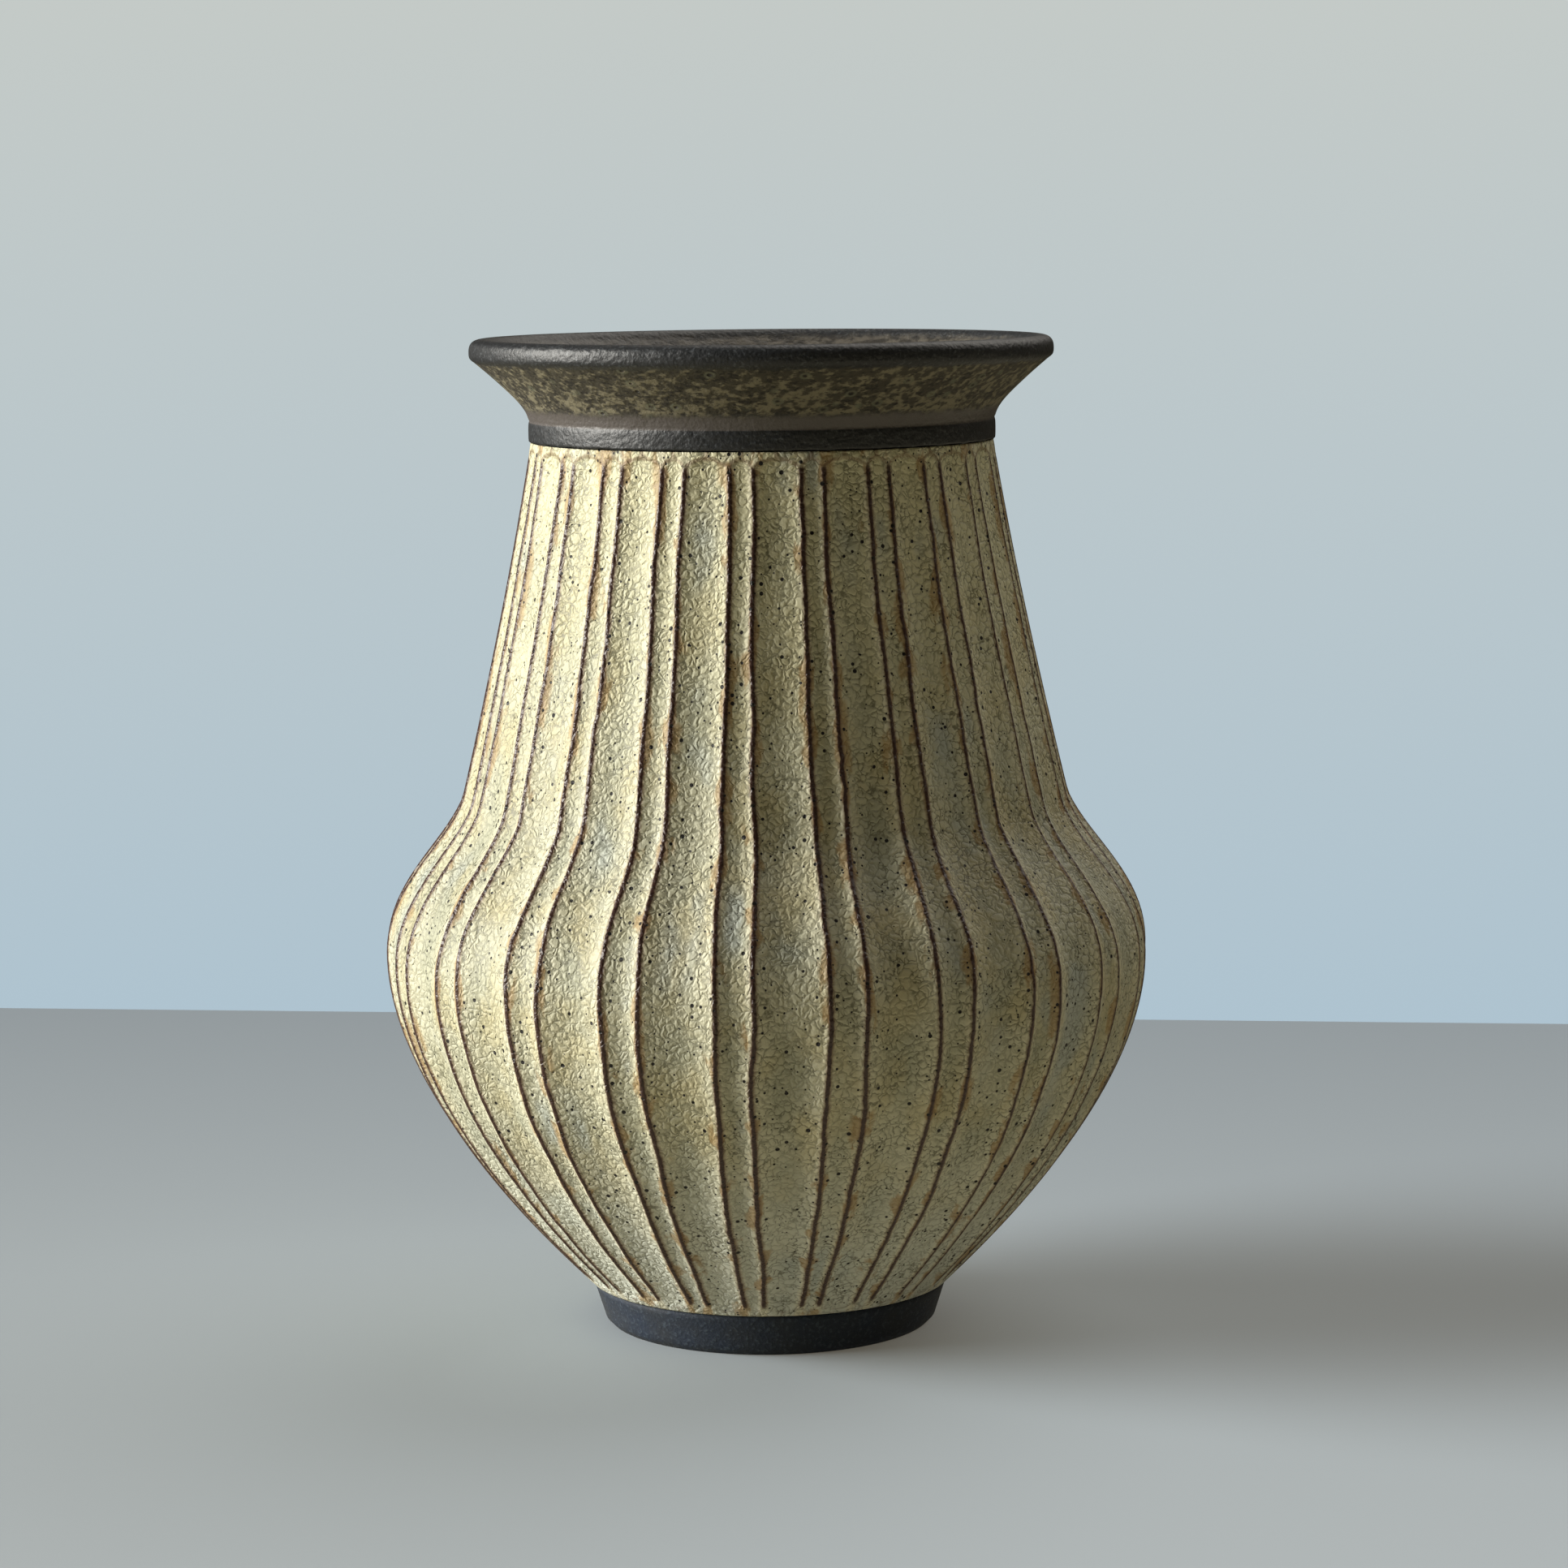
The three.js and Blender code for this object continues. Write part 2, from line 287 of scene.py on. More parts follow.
def ring_faces(rows, columns, first=0, flipped=False):
    """The quads of a grid that closes on itself around the pot."""
    row, column = np.meshgrid(np.arange(rows - 1), np.arange(columns), indexing="ij")
    near = first + row * columns + column
    side = first + row * columns + (column + 1) % columns
    corners = [near, side, side + columns, near + columns]
    if flipped:
        corners.reverse()
    return np.stack(corners, axis=-1).reshape(-1, 4).tolist()


def edge_strip(fine_row, coarse_row, flipped):
    """Faces between a row of points and a row with fewer of them, at the rim of a skin."""
    fine, coarse, strip = len(fine_row), len(coarse_row), []
    stride = fine // coarse
    for step in range(coarse):
        upper = [fine_row[(step * stride + i) % fine] for i in range(stride + 1)]
        lower = [coarse_row[(step + 1) % coarse], coarse_row[step]]
        face = upper + lower
        strip.append(face[::-1] if flipped else face)
    return strip


def turned_points(radius, height, angle):
    """Points in metres from radii, heights and angles on the wheel."""
    radius, height, angle = np.broadcast_arrays(radius, height, np.radians(angle))
    return np.stack([radius * np.cos(angle), radius * np.sin(angle), height], axis=-1) * MM


def make_piece(name, points, faces, marks, material, stands_for):
    """A smooth mesh object that rides on the vase, with extra values at points or face corners."""
    mesh = bpy.data.meshes.new(name)
    mesh.from_pydata(points.tolist(), [], faces)
    mesh.shade_smooth()
    for mark, values in marks.items():
        domain = "POINT" if len(values) == len(points) else "CORNER"
        attribute = mesh.attributes.new(mark, "FLOAT", domain)
        attribute.data.foreach_set("value", np.ascontiguousarray(values, np.float32))
    mesh.materials.append(material)
    mesh.validate()
    piece = bpy.data.objects.new(name, mesh)
    bpy.context.scene.collection.objects.link(piece)
    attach(piece, "root")
    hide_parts(stands_for)
    print(f"{name}: {len(mesh.vertices)} points, {len(mesh.polygons)} faces")
    return piece


def skin(face_points, back_points):
    """All the points and faces of a closed ring: a fine face, a coarse back, and their two rims."""
    rows, columns = face_points.shape[:2]
    back_rows, back_columns = back_points.shape[:2]
    first_back = rows * columns
    faces = ring_faces(rows, columns)
    faces += ring_faces(back_rows, back_columns, first_back, flipped=True)
    for face_row, back_row, flipped in ((0, 0, True), (rows - 1, back_rows - 1, False)):
        fine = [face_row * columns + i for i in range(columns)]
        coarse = [first_back + back_row * back_columns + i for i in range(back_columns)]
        faces += edge_strip(fine, coarse, flipped)
    points = np.vstack([face_points.reshape(-1, 3), back_points.reshape(-1, 3)])
    return points, faces


print("a strip of two rows and four columns has", len(ring_faces(2, 4)), "quads")

# %% [markdown]
# ## Colours and shader nodes
#
# Paint charts give colours as six hex digits, which are stored for the eye and not for sums of
# light. Blender's shaders add light, so one function turns each hex colour to linear values. One
# more adds any shader node: it takes the kind of node, what feeds its sockets, in order or by
# name, the output that is wanted, and the node's settings. Textures count cells per metre, so a
# third turns a size in millimetres to a scale.
#
# The node used most is Map Range. Fed in order, it takes a value, the range that the value comes
# in and the range that it goes out in, which is 0 to 1 when it isn't given. With a smooth step it
# makes soft-edged masks, which say how much of a colour lies at a place.

# %% Colour and node helpers
def linear(hex_colour):
    """An sRGB hex colour as linear red, green, blue and a solid alpha."""
    parts = [int(hex_colour[i : i + 2], 16) / 255 for i in (1, 3, 5)]
    light = [p / 12.92 if p <= 0.04045 else ((p + 0.055) / 1.055) ** 2.4 for p in parts]
    return (*light, 1)


def node(tree, kind, feeds=(), output=None, **settings):
    """A shader node, or one of its outputs. Each feed is a value or another node's output."""
    made = tree.nodes.new("ShaderNode" + kind)
    for setting, value in settings.items():
        setattr(made, setting, value)
    for socket, feed in feeds.items() if isinstance(feeds, dict) else enumerate(feeds):
        if isinstance(feed, bpy.types.NodeSocket):
            tree.links.new(feed, made.inputs[socket])
        else:
            made.inputs[socket].default_value = feed
    return made if output is None else made.outputs[output]


def per_metre(millimetres):
    """The texture scale that makes one cell or wave this many millimetres across."""
    return 1 / (millimetres * MM)


def new_material(name):
    """A material and its empty node tree."""
    material = bpy.data.materials.new(name)
    material.use_nodes = True
    material.node_tree.nodes.clear()
    return material, material.node_tree


# A Mix node keeps one set of sockets for each kind of value; these are the ones for a colour.
FACTOR, FIRST, SECOND, BLEND = 0, 6, 7, 2
IN_COLOUR = {"data_type": "RGBA"}
SMOOTH = {"interpolation_type": "SMOOTHSTEP"}
print("mid grey #808080 reflects", round(linear("#808080")[0], 3), "of the light")

# %% [markdown]
# ## The cream glaze
#
# It is a stoneware matte glaze over iron-bearing clay, fired until the iron bleeds through. Four
# things give it away. The matte surface is full of fine curled lines, like crackle, about two
# millimetres apart, where the glaze crystals left darker grey-green glass between them. Tiny iron
# specks and pinholes are scattered over it. Where the glaze runs thin over a sharp ridge it breaks
# to a glossy dark brown line with ochre beside it. Where it pools, in the middle of a flute, it
# turns cool and blue-grey.
#
# All of these are drawn with noise and cell textures laid through space, so there is no seam, and
# the ridge effects follow the distances to the ridges that the mesh carries. Three marks are partly
# painted light: the pale lip beside each ridge is partly a painted highlight, the brown line reaches
# further on the right of each ridge as painted shade, and the paler foot stands partly for light
# thrown up from the board. The crackle lines of the real glaze are a tenth of a millimetre wide;
# here they are about three times that, because finer ones would be lost at this distance. Each
# feature gets a short function of its own, which returns masks, and the last one lays the colours
# over each other through those masks.

# %% Cream glaze colours
CREAM = linear("#d3d1b6")
CREAM_GREY = linear("#b3b49c")
CREAM_WARM = linear("#c4b98c")
# Pale cream beside the ridges, partly the glaze and partly a painted highlight on the crests.
PALE_CREAM_AND_HIGHLIGHT = linear("#e6e1c6")
NECK_CREAM = linear("#e0dcb6")
# Cool pale cream at the foot, partly the glaze and partly painted light thrown up from the board.
FOOT_CREAM_AND_BOUNCE_LIGHT = linear("#d3d9d1")
POOL_BLUE = linear("#b3bcb8")
CRACKLE_GREEN = linear("#48472f")
OCHRE = linear("#a07a3a")
RUSSET = linear("#6c4b31")
# The brown of the glaze break, also laid wider on the right of each ridge as painted shade.
RIDGE_BROWN_AND_SHADE = linear("#422c26")
IRON_SPECK = linear("#120e0b")
print(f"the cream reflects {CREAM[1]:.2f} of green light, an iron speck {IRON_SPECK[1]:.3f}")

# %% Crackle
CRACKLE_CELL = 1.9
CRACKLE_CURL = 3.4


def crackle_masks(tree, place, noise):
    """Masks for the crackle lines, and for the low domes of glaze between them."""
    # Bending the space a little before the cells are drawn makes their edges curl.
    feeds = [noise["curl"].outputs["Color"], (0.5, 0.5, 0.5)]
    bend = node(tree, "VectorMath", feeds, 0, operation="SUBTRACT")
    feeds = {0: bend, "Scale": CRACKLE_CURL * MM}
    bend = node(tree, "VectorMath", feeds, 0, operation="SCALE")
    curled = node(tree, "VectorMath", [place, bend], 0, operation="ADD")
    feeds = {"Vector": curled, "Scale": per_metre(CRACKLE_CELL)}
    cells = node(tree, "TexVoronoi", feeds, "Distance", feature="DISTANCE_TO_EDGE")
    domes = node(tree, "MapRange", [cells, 0, 0.34], 0, **SMOOTH)
    crackle = node(tree, "MapRange", [cells, 0.01, 0.125, 1, 0], 0, **SMOOTH)
    # Lines break off here and there, and whole patches have fainter ones.
    for gap, low, high, least in (("broken", 0.36, 0.56, 0.35), ("patches", 0.36, 0.6, 0.5)):
        feeds = [noise[gap].outputs["Fac"], low, high, least, 1]
        kept = node(tree, "MapRange", feeds, 0, **SMOOTH)
        crackle = node(tree, "Math", [crackle, kept], 0, operation="MULTIPLY")
    return crackle, domes


print(f"crackle cells are {CRACKLE_CELL} mm wide, or {per_metre(CRACKLE_CELL):.0f} to a metre")

# %% Iron specks
# Each dot size: the spacing of the cells, and the smallest and largest radius, all in millimetres.
DOT_SIZES = ((2.2, 0, 0.52), (1.4, 0, 0.29))


def speck_mask(tree, place):
    """A mask for round dots of mixed sizes. Cells whose random pick is low get none."""
    dots = []
    for spacing, smallest, largest in DOT_SIZES:
        cell = node(tree, "TexVoronoi", {"Vector": place, "Scale": per_metre(spacing)})
        pick = node(tree, "SeparateColor", [cell.outputs["Color"]], "Red")
        feeds = [pick, 0.1, 1, smallest / spacing, largest / spacing]
        reach = node(tree, "MapRange", feeds, 0)
        feeds = [reach, cell.outputs["Distance"]]
        room = node(tree, "Math", feeds, 0, operation="SUBTRACT")
        dots.append(node(tree, "MapRange", [room, -0.01, 0.035], 0, **SMOOTH))
    return node(tree, "Math", dots, 0, operation="MAXIMUM")


print("the largest specks are", DOT_SIZES[0][2] * 2, "mm across")

# %% Pools and clouds
NECK_FROM = 115
NECK_SHARE = 0.75
FOOT_POOL_TOP = 68
FOOT_SHARE = 0.85


def pool_layers(tree, place, noise, hollow):
    """Greyer in the hollows, with slow warm clouds, a few cool pools, and a paler neck and foot, the
    foot partly painted light.

    Each layer is a mask and the colour that it lays down.
    """
    feeds = [noise["pool"].outputs["Fac"], 0.36, 0.62, 0.35, 1]
    grey = node(tree, "MapRange", feeds, 0, **SMOOTH)
    grey = node(tree, "Math", [hollow, grey], 0, operation="MULTIPLY")
    feeds = [noise["cloud"].outputs["Fac"], 0.44, 0.68, 0, 0.6]
    warm = node(tree, "MapRange", feeds, 0, **SMOOTH)
    feeds = [noise["blue"].outputs["Fac"], 0.54, 0.7, 0, 0.7]
    cool = node(tree, "MapRange", feeds, 0, **SMOOTH)
    cool = node(tree, "Math", [hollow, cool], 0, operation="MULTIPLY")
    # The pot was dipped rim down, so the coat is thickest and palest on the neck. The foot is cooler
    # and
    # paler again: partly the glaze pooling there, and partly painted light thrown up from the board.
    height = node(tree, "SeparateXYZ", [place], "Z")
    feeds = [height, NECK_FROM * MM, NECK_TOP * MM, 0, NECK_SHARE]
    at_neck = node(tree, "MapRange", feeds, 0, **SMOOTH)
    feeds = [height, GLAZE_LINE * MM, FOOT_POOL_TOP * MM, FOOT_SHARE, 0]
    at_foot = node(tree, "MapRange", feeds, 0, **SMOOTH)
    return [
        (grey, CREAM_GREY),
        (warm, CREAM_WARM),
        (at_neck, NECK_CREAM),
        (at_foot, FOOT_CREAM_AND_BOUNCE_LIGHT),
        (cool, POOL_BLUE),
    ]


print(f"paler above {NECK_FROM} mm and below {FOOT_POOL_TOP} mm")

# %% The break at a ridge
# The brown line is the glaze breaking over the crest; it reaches further past the ridge, on the side
# away from the window, as painted shade.
LINE_LEFT = 0.3
LINE_RIGHT_WITH_SHADE = 0.66


def ridge_masks(tree, noise, mark, from_ridge):
    """Masks beside a ridge: a pale lip, partly painted highlight, then ochre in streaks, a russet
    edge and the brown line.
    """
    # The distances get a wandering edge, so that no line is ruled.
    feeds = [noise["wander"].outputs["Fac"], 0.7, -0.35]
    wander = node(tree, "Math", feeds, 0, operation="MULTIPLY_ADD")
    near_past, near_before, near_ridge, near_arch = [
        node(tree, "Math", [gap, wander], 0, operation="ADD")
        for gap in (mark["past_ridge"], mark["before_ridge"], from_ridge, mark["arch_edge"])
    ]
    # The pale lip is partly paler glaze and partly a painted highlight where the ridge crest catches
    # the light.
    pale = node(tree, "MapRange", [near_ridge, 0.4, 1.8, 0.6, 0], 0, **SMOOTH)
    feeds = [noise["streaks"].outputs["Fac"], 0.46, 0.66, -0.4, 3]
    ochre_reach = node(tree, "MapRange", feeds, 0, **SMOOTH)
    ochre = node(tree, "Math", [ochre_reach, near_ridge], 0, operation="SUBTRACT")
    ochre = node(tree, "MapRange", [ochre, -0.4, 1.4, 0, 0.6], 0, **SMOOTH)
    edge_left = node(tree, "MapRange", [near_before, 0.25, 0.95, 0.6, 0], 0, **SMOOTH)
    edge_right = node(tree, "MapRange", [near_past, 0.5, 1.5, 0.75, 0], 0, **SMOOTH)
    feeds = [near_before, LINE_LEFT * 0.5, LINE_LEFT * 1.5, 1, 0]
    line_left = node(tree, "MapRange", feeds, 0, **SMOOTH)
    # Past the ridge the line is wider: painted shade on the side of the ridge turned from the light.
    feeds = [near_past, LINE_RIGHT_WITH_SHADE * 0.7, LINE_RIGHT_WITH_SHADE * 1.25, 1, 0]
    line_right = node(tree, "MapRange", feeds, 0, **SMOOTH)
    # Both fade out where the ridge itself does, and russet follows the round top of the flute.
    russet, brown = [
        node(tree, "Math", pair, 0, operation="MAXIMUM")
        for pair in ((edge_left, edge_right), (line_left, line_right))
    ]
    russet, brown = [
        node(tree, "Math", [share, mark["ridge_sharpness"]], 0, operation="MULTIPLY")
        for share in (russet, brown)
    ]
    outline = node(tree, "MapRange", [near_arch, 0.1, 0.7, 0.6, 0], 0, **SMOOTH)
    russet = node(tree, "Math", [russet, outline], 0, operation="MAXIMUM")
    return pale, ochre, russet, brown


print(f"the brown line is {LINE_LEFT + LINE_RIGHT_WITH_SHADE:.2f} mm wide")

# %% Building the cream glaze
# Each noise: the size of its waves in millimetres, how much finer detail, and its upright scale,
# which is less than one where the waves are drawn out tall.
CREAM_NOISES = {
    "curl": (2.4, 2, 1),
    "broken": (1.1, 2, 1),
    "patches": (9, 2, 1),
    "wander": (1.3, 2, 1),
    "streaks": (5, 4, 1 / 3),
    "pool": (15, 3, 1 / 1.5),
    "cloud": (12, 4, 1 / 1.5),
    "blue": (19, 3, 1 / 1.5),
    "lumps": (2.4, 3, 1),
    "grit": (0.7, 2, 1),
}
CRACKLE_SHARE = 0.75
CREAM_ROUGHNESS = 0.62
RIDGE_ROUGHNESS = 0.4
CREAM_RELIEF = 0.22
GLAZE_IOR = 1.5


def make_cream_glaze():
    """Cream matte glaze, which breaks to brown on ridges."""
    material, tree = new_material("cream_matte_stoneware_glaze")
    place = node(tree, "TexCoord", (), "Object")
    mark = {
        name: node(tree, "Attribute", (), "Fac", attribute_name=name)
        for name in ("past_ridge", "before_ridge", "arch_edge", "ridge_sharpness")
    }
    noise = {}
    for name, (size, detail, upright) in CREAM_NOISES.items():
        where = node(tree, "Mapping", {"Vector": place, "Scale": (1, 1, upright)}, 0)
        feeds = {"Vector": where, "Scale": per_metre(size), "Detail": detail}
        noise[name] = node(tree, "TexNoise", feeds)

    # How far across its flute a point lies: none at a ridge, and half in the middle.
    both = [mark["past_ridge"], mark["before_ridge"]]
    from_ridge = node(tree, "Math", both, 0, operation="MINIMUM")
    width = node(tree, "Math", both, 0, operation="ADD")
    share = node(tree, "Math", [from_ridge, width], 0, operation="DIVIDE")
    hollow = node(tree, "MapRange", [share, 0.06, 0.4], 0, **SMOOTH)

    crackle, domes = crackle_masks(tree, place, noise)
    specks = speck_mask(tree, place)
    pale, ochre, russet, brown = ridge_masks(tree, noise, mark, from_ridge)
    lines = node(tree, "Math", [crackle, CRACKLE_SHARE], 0, operation="MULTIPLY")

    # One coat of colour over another, from the cream up to the iron specks.
    layers = pool_layers(tree, place, noise, hollow)
    layers += [
        (pale, PALE_CREAM_AND_HIGHLIGHT),
        (lines, CRACKLE_GREEN),
        (ochre, OCHRE),
        (russet, RUSSET),
        (brown, RIDGE_BROWN_AND_SHADE),
        (specks, IRON_SPECK),
    ]
    colour = CREAM
    for mask, over in layers:
        feeds = {FACTOR: mask, FIRST: colour, SECOND: over}
        colour = node(tree, "Mix", feeds, BLEND, **IN_COLOUR)

    # Matte on the cream, glossier on the ridge line and a little in the crackle.
    feeds = [brown, 0, 1, CREAM_ROUGHNESS, RIDGE_ROUGHNESS]
    roughness = node(tree, "MapRange", feeds, 0)
    roughness = node(tree, "Math", [crackle, -0.1, roughness], 0, operation="MULTIPLY_ADD")
    relief = noise["lumps"].outputs["Fac"]
    for height, weight in ((domes, 0.8), (noise["grit"].outputs["Fac"], 0.35), (specks, -1)):
        relief = node(tree, "Math", [height, weight, relief], 0, operation="MULTIPLY_ADD")
    feeds = {"Height": relief, "Strength": 1, "Distance": CREAM_RELIEF * MM}
    bump = node(tree, "Bump", feeds, 0)
    feeds = {"Base Color": colour, "Roughness": roughness, "Normal": bump, "IOR": GLAZE_IOR}
    surface = node(tree, "BsdfPrincipled", feeds, "BSDF")
    node(tree, "OutputMaterial", [surface])
    return material


cream_matte_glaze = make_cream_glaze()
print("made", cream_matte_glaze.name, "of", len(cream_matte_glaze.node_tree.nodes), "nodes")

# %% [markdown]
# ## The cream coat
#
# The face of the coat is the body line turned and carved. Columns crowd towards the ridges, where
# the shape turns sharply, and rows crowd towards the ends, where the round tops of the flutes are.
# The whole pot is also a hair out of true, as anything thrown by hand is.

# %% Rows of the cream coat
COAT_ROWS = 133
END_ROWS = 20
END_REACH = 9


def crowded_rows(length, rows, end_rows, end_reach):
    """Distances that stand close together near both ends and evenly between them."""
    low = np.linspace(0, end_reach, end_rows, endpoint=False)
    middle = np.linspace(end_reach, length - end_reach, rows - 2 * end_rows)
    return np.concatenate([low, middle, length - low[::-1]])


coat_distances = crowded_rows(body_length, COAT_ROWS, END_ROWS, END_REACH)
coat_at, coat_out = places(body_line, coat_distances)
coat_radius, coat_height = coat_at.T
row_steps = np.diff(coat_distances)
print(f"{COAT_ROWS} rows, {row_steps.min():.2f} to {row_steps.max():.2f} mm apart")

# %% Columns of the cream coat, and the cut at each point
NARROW_COLUMNS = 10
WIDE_COLUMNS = 18


def crowded_shares(count):
    """Shares across a flute, half evenly spread and half crowded to both sides."""
    even = np.arange(count) / count
    return (even + (1 - np.cos(math.pi * even)) / 2) / 2


paths = ridge_paths(coat_distances, coat_radius)
next_paths = np.vstack([paths[1:], paths[:1] + 360])
lift = run_out_lift(coat_distances)
depth_drift = 1 + waves(coat_distances, DEPTH_WAVES, ridge_count)

angles, depths, shares_near, shares_far, widths = [], [], [], [], []
for flute in range(ridge_count):
    narrow = flute % 2 == 0
    shares = crowded_shares(NARROW_COLUMNS if narrow else WIDE_COLUMNS)
    full = NARROW_FLUTE_DEPTH if narrow else WIDE_FLUTE_DEPTH
    # Flutes get narrower where the pot does, and shallower with it.
    full_here = full * depth_drift[flute] * end_fade(coat_distances) * coat_radius / BELLY_RADIUS
    span = next_paths[flute] - paths[flute]
    angles.append(paths[flute] + span * shares[:, None])
    depths.append(cut_depth(shares[:, None], full_here, lift))
    shares_near.append(shares)
    shares_far.append(np.append(shares[1:], 1))
    widths.append(np.tile(np.radians(span) * coat_radius, (len(shares), 1)))
angles, depths, widths = np.vstack(angles).T, np.vstack(depths).T, np.vstack(widths).T
shares_near, shares_far = np.concatenate(shares_near), np.concatenate(shares_far)
print(f"{angles.shape[0]} rows of {angles.shape[1]} points, cut up to {depths.max():.2f} mm deep")

# %% [markdown]
# Four values ride on the mesh for the glaze. Two are the distances to the ridge on either side of
# a point. They jump at every ridge, so they are kept at the corners of faces and not at points,
# where two flutes would share one value. The third is the distance to the round outline that the
# tool left where it ran out of the clay, and the last says how sharp the ridge is, from one along
# the body to none where the flutes have run out.

# %% Distances that the glaze follows
OUTLINE_REACH = 0.6
OUTLINE_FALL = 10
LOW_OUTLINE_GAP = 0.35
DULL_LIFT = 0.25


def by_corner(near, far):
    """A value at the four corners of each face, from its value at both sides of each column."""
    return np.stack([near[:-1], far[:-1], far[1:], near[1:]], axis=-1).ravel()


past_ridge = by_corner(widths * shares_near, widths * shares_far)
before_ridge = by_corner(widths * (1 - shares_near), widths * (1 - shares_far))
arch = 4 * shares_near * (1 - shares_near)
outline_share = (1 - np.sqrt(1 - lift))[:, None] / 2
sideways = np.abs(np.minimum(shares_near, 1 - shares_near) - outline_share) * widths
outline_start = (1 - np.sqrt(arch)) * RUN_OUT
from_end = past_flute_end(coat_distances)[:, None]
upward = np.abs(from_end - outline_start)
arch_edge = sideways * upward / np.hypot(sideways, upward).clip(0.01)
# The outline is left out further along the flute, and it is fainter at the lower end.
arch_edge += np.clip(from_end / RUN_OUT - OUTLINE_REACH, 0, 1) * OUTLINE_FALL
arch_edge[coat_distances < body_length / 2] += LOW_OUTLINE_GAP
sharpness = np.repeat(1 - np.clip(lift / DULL_LIFT, 0, 1)[:, None], len(shares_near), axis=1)
print(f"flutes are {widths.min():.1f} to {widths.max():.1f} mm wide")

# %% The cream coat itself
COAT_THICKNESS = 0.8
OUT_OF_TRUE = ((150, 0.10), (60, 0.06))
OVAL_SIZE = 0.12
OVAL_TWIST_LENGTH = 60
FAR_AWAY = 5

wobble = waves(coat_distances, OUT_OF_TRUE, 1).T
oval_turn = coat_distances[:, None] / OVAL_TWIST_LENGTH
sway = np.cos(np.radians(angles) * 2 + oval_turn) * OVAL_SIZE
out_radius, out_height = coat_out.T[:, :, None]


def coat_surface(depth):
    """Points of the coat at a depth below its uncut face."""
    radius = coat_radius[:, None] - depth * out_radius + wobble + sway
    height = coat_height[:, None] - depth * out_height
    return turned_points(radius, height, angles)


coat_face = coat_surface(depths)
coat_back = coat_surface(depths + COAT_THICKNESS)[::BACK_STRIDE, ::BACK_STRIDE]
coat_points, coat_faces = skin(coat_face, coat_back)
corner_count = sum(len(face) for face in coat_faces)


def padded_to(values, count):
    """The values, and enough of a large one for the points or corners that are never seen."""
    return np.concatenate([values.ravel(), np.full(count - values.size, FAR_AWAY)])


coat_marks = {
    "past_ridge": padded_to(past_ridge, corner_count),
    "before_ridge": padded_to(before_ridge, corner_count),
    "arch_edge": padded_to(arch_edge, len(coat_points)),
    "ridge_sharpness": padded_to(sharpness, len(coat_points)),
}
cream_coat = make_piece(
    "cream_coat",
    coat_points,
    coat_faces,
    coat_marks,
    cream_matte_glaze,
    "cream_glaze",
)

# %% [markdown]
# ## The rim
#
# Above the body come a low collar, a scored line, a smooth band and a wide flare that ends in a
# rolled lip. It is plain turned work, so it needs no carving: one line, turned. The line starts at
# the foot of the collar, goes up over the lip and back down inside to the throat.

# %% The rim line
COLLAR_RADIUS = 53.2
COLLAR_TOP = 209
BAND_REACH = 3.6
FLARE_REACH_BELOW = 4.4
FLARE_LEAN = 48
FLARE_REACH_ABOVE = 6
LIP_UNDERSIDE = (65.8, 223.2)
LIP_MIDDLE_HEIGHT = 225.2
LIP_CREST_RADIUS = 63.4
LIP_INSIDE = (60.6, 226.4)
LIP_INSIDE_REACH = 1.2
THROAT_RADIUS = 45
THROAT_STRIP = 2.5
SCORE_DEPTH = 0.18
SCORE_HALF_WIDTH = 0.35
COLLAR_SWELL = 0.08
LIP_SHELF = 0.2

collar_foot = np.array([COLLAR_RADIUS, COLLAR_BOTTOM])
collar_top = np.array([COLLAR_RADIUS, COLLAR_TOP])
lip_underside = np.array(LIP_UNDERSIDE)
lip_middle = np.array([LIP_RADIUS, LIP_MIDDLE_HEIGHT])
lip_crest = np.array([LIP_CREST_RADIUS, LIP_TOP])
lip_inside = np.array(LIP_INSIDE)
throat_top = np.array([THROAT_RADIUS, COLLAR_TOP])

collar = curve(collar_foot, collar_top)
flare = curve(
    collar_top,
    collar_top + lean(0, FLARE_REACH_BELOW),
    lip_underside - lean(FLARE_LEAN, FLARE_REACH_ABOVE),
    lip_underside,
)
lip_outside = curve(
    lip_underside, (LIP_RADIUS, (LIP_UNDERSIDE[1] + LIP_MIDDLE_HEIGHT) / 2), lip_middle
)
lip_top = curve(lip_middle, (LIP_RADIUS, LIP_TOP), lip_crest)
lip_fall = curve(lip_crest, (LIP_INSIDE[0] + LIP_INSIDE_REACH, LIP_TOP), lip_inside)
inner_flare = curve(
    lip_inside,
    lip_inside - lean(FLARE_LEAN, FLARE_REACH_ABOVE),
    throat_top + lean(0, FLARE_REACH_BELOW),
    throat_top,
)
rim_line = joined(collar, flare, lip_outside, lip_top, lip_fall, inner_flare)
collar_length = distances_along(collar)[-1]
band_end = collar_length + BAND_REACH
flare_end = collar_length + distances_along(flare)[-1]
lip_end = flare_end + sum(distances_along(part)[-1] for part in (lip_outside, lip_top, lip_fall))
rim_length = distances_along(rim_line)[-1] - THROAT_STRIP
print(f"collar {collar_length:.1f} mm, flare to {flare_end:.1f}, lip to {lip_end:.1f}")

# %% [markdown]
# ## The dark glaze of the rim
#
# The same iron-rich glaze family, fired darker: a gunmetal satin on the collar and the lip with a
# fine metallic glitter, painted in part as paler specks, a smooth plum-grey band, and on the flare a
# mottle of olive and tan with small dark pits that the flame left, some with a pale ring. Inside the
# mouth it is a calmer, greyer brown. One material draws them all, by how far along the rim line a
# point lies.

# %% Rim glaze colours
GUNMETAL = linear("#1d2024")
# Paler specks of metallic crystal, partly a painted glint.
GUNMETAL_GLINT = linear("#4f5459")
PLUM_GREY = linear("#585351")
FLARE_OLIVE = linear("#403c31")
FLARE_TAN = linear("#7f7964")
FLARE_DARK = linear("#181512")
INNER_BROWN = linear("#5b564d")
HALO = linear("#6c6e5c")
print(f"the gunmetal reflects {GUNMETAL[1]:.3f} of green light, the tan {FLARE_TAN[1]:.2f}")

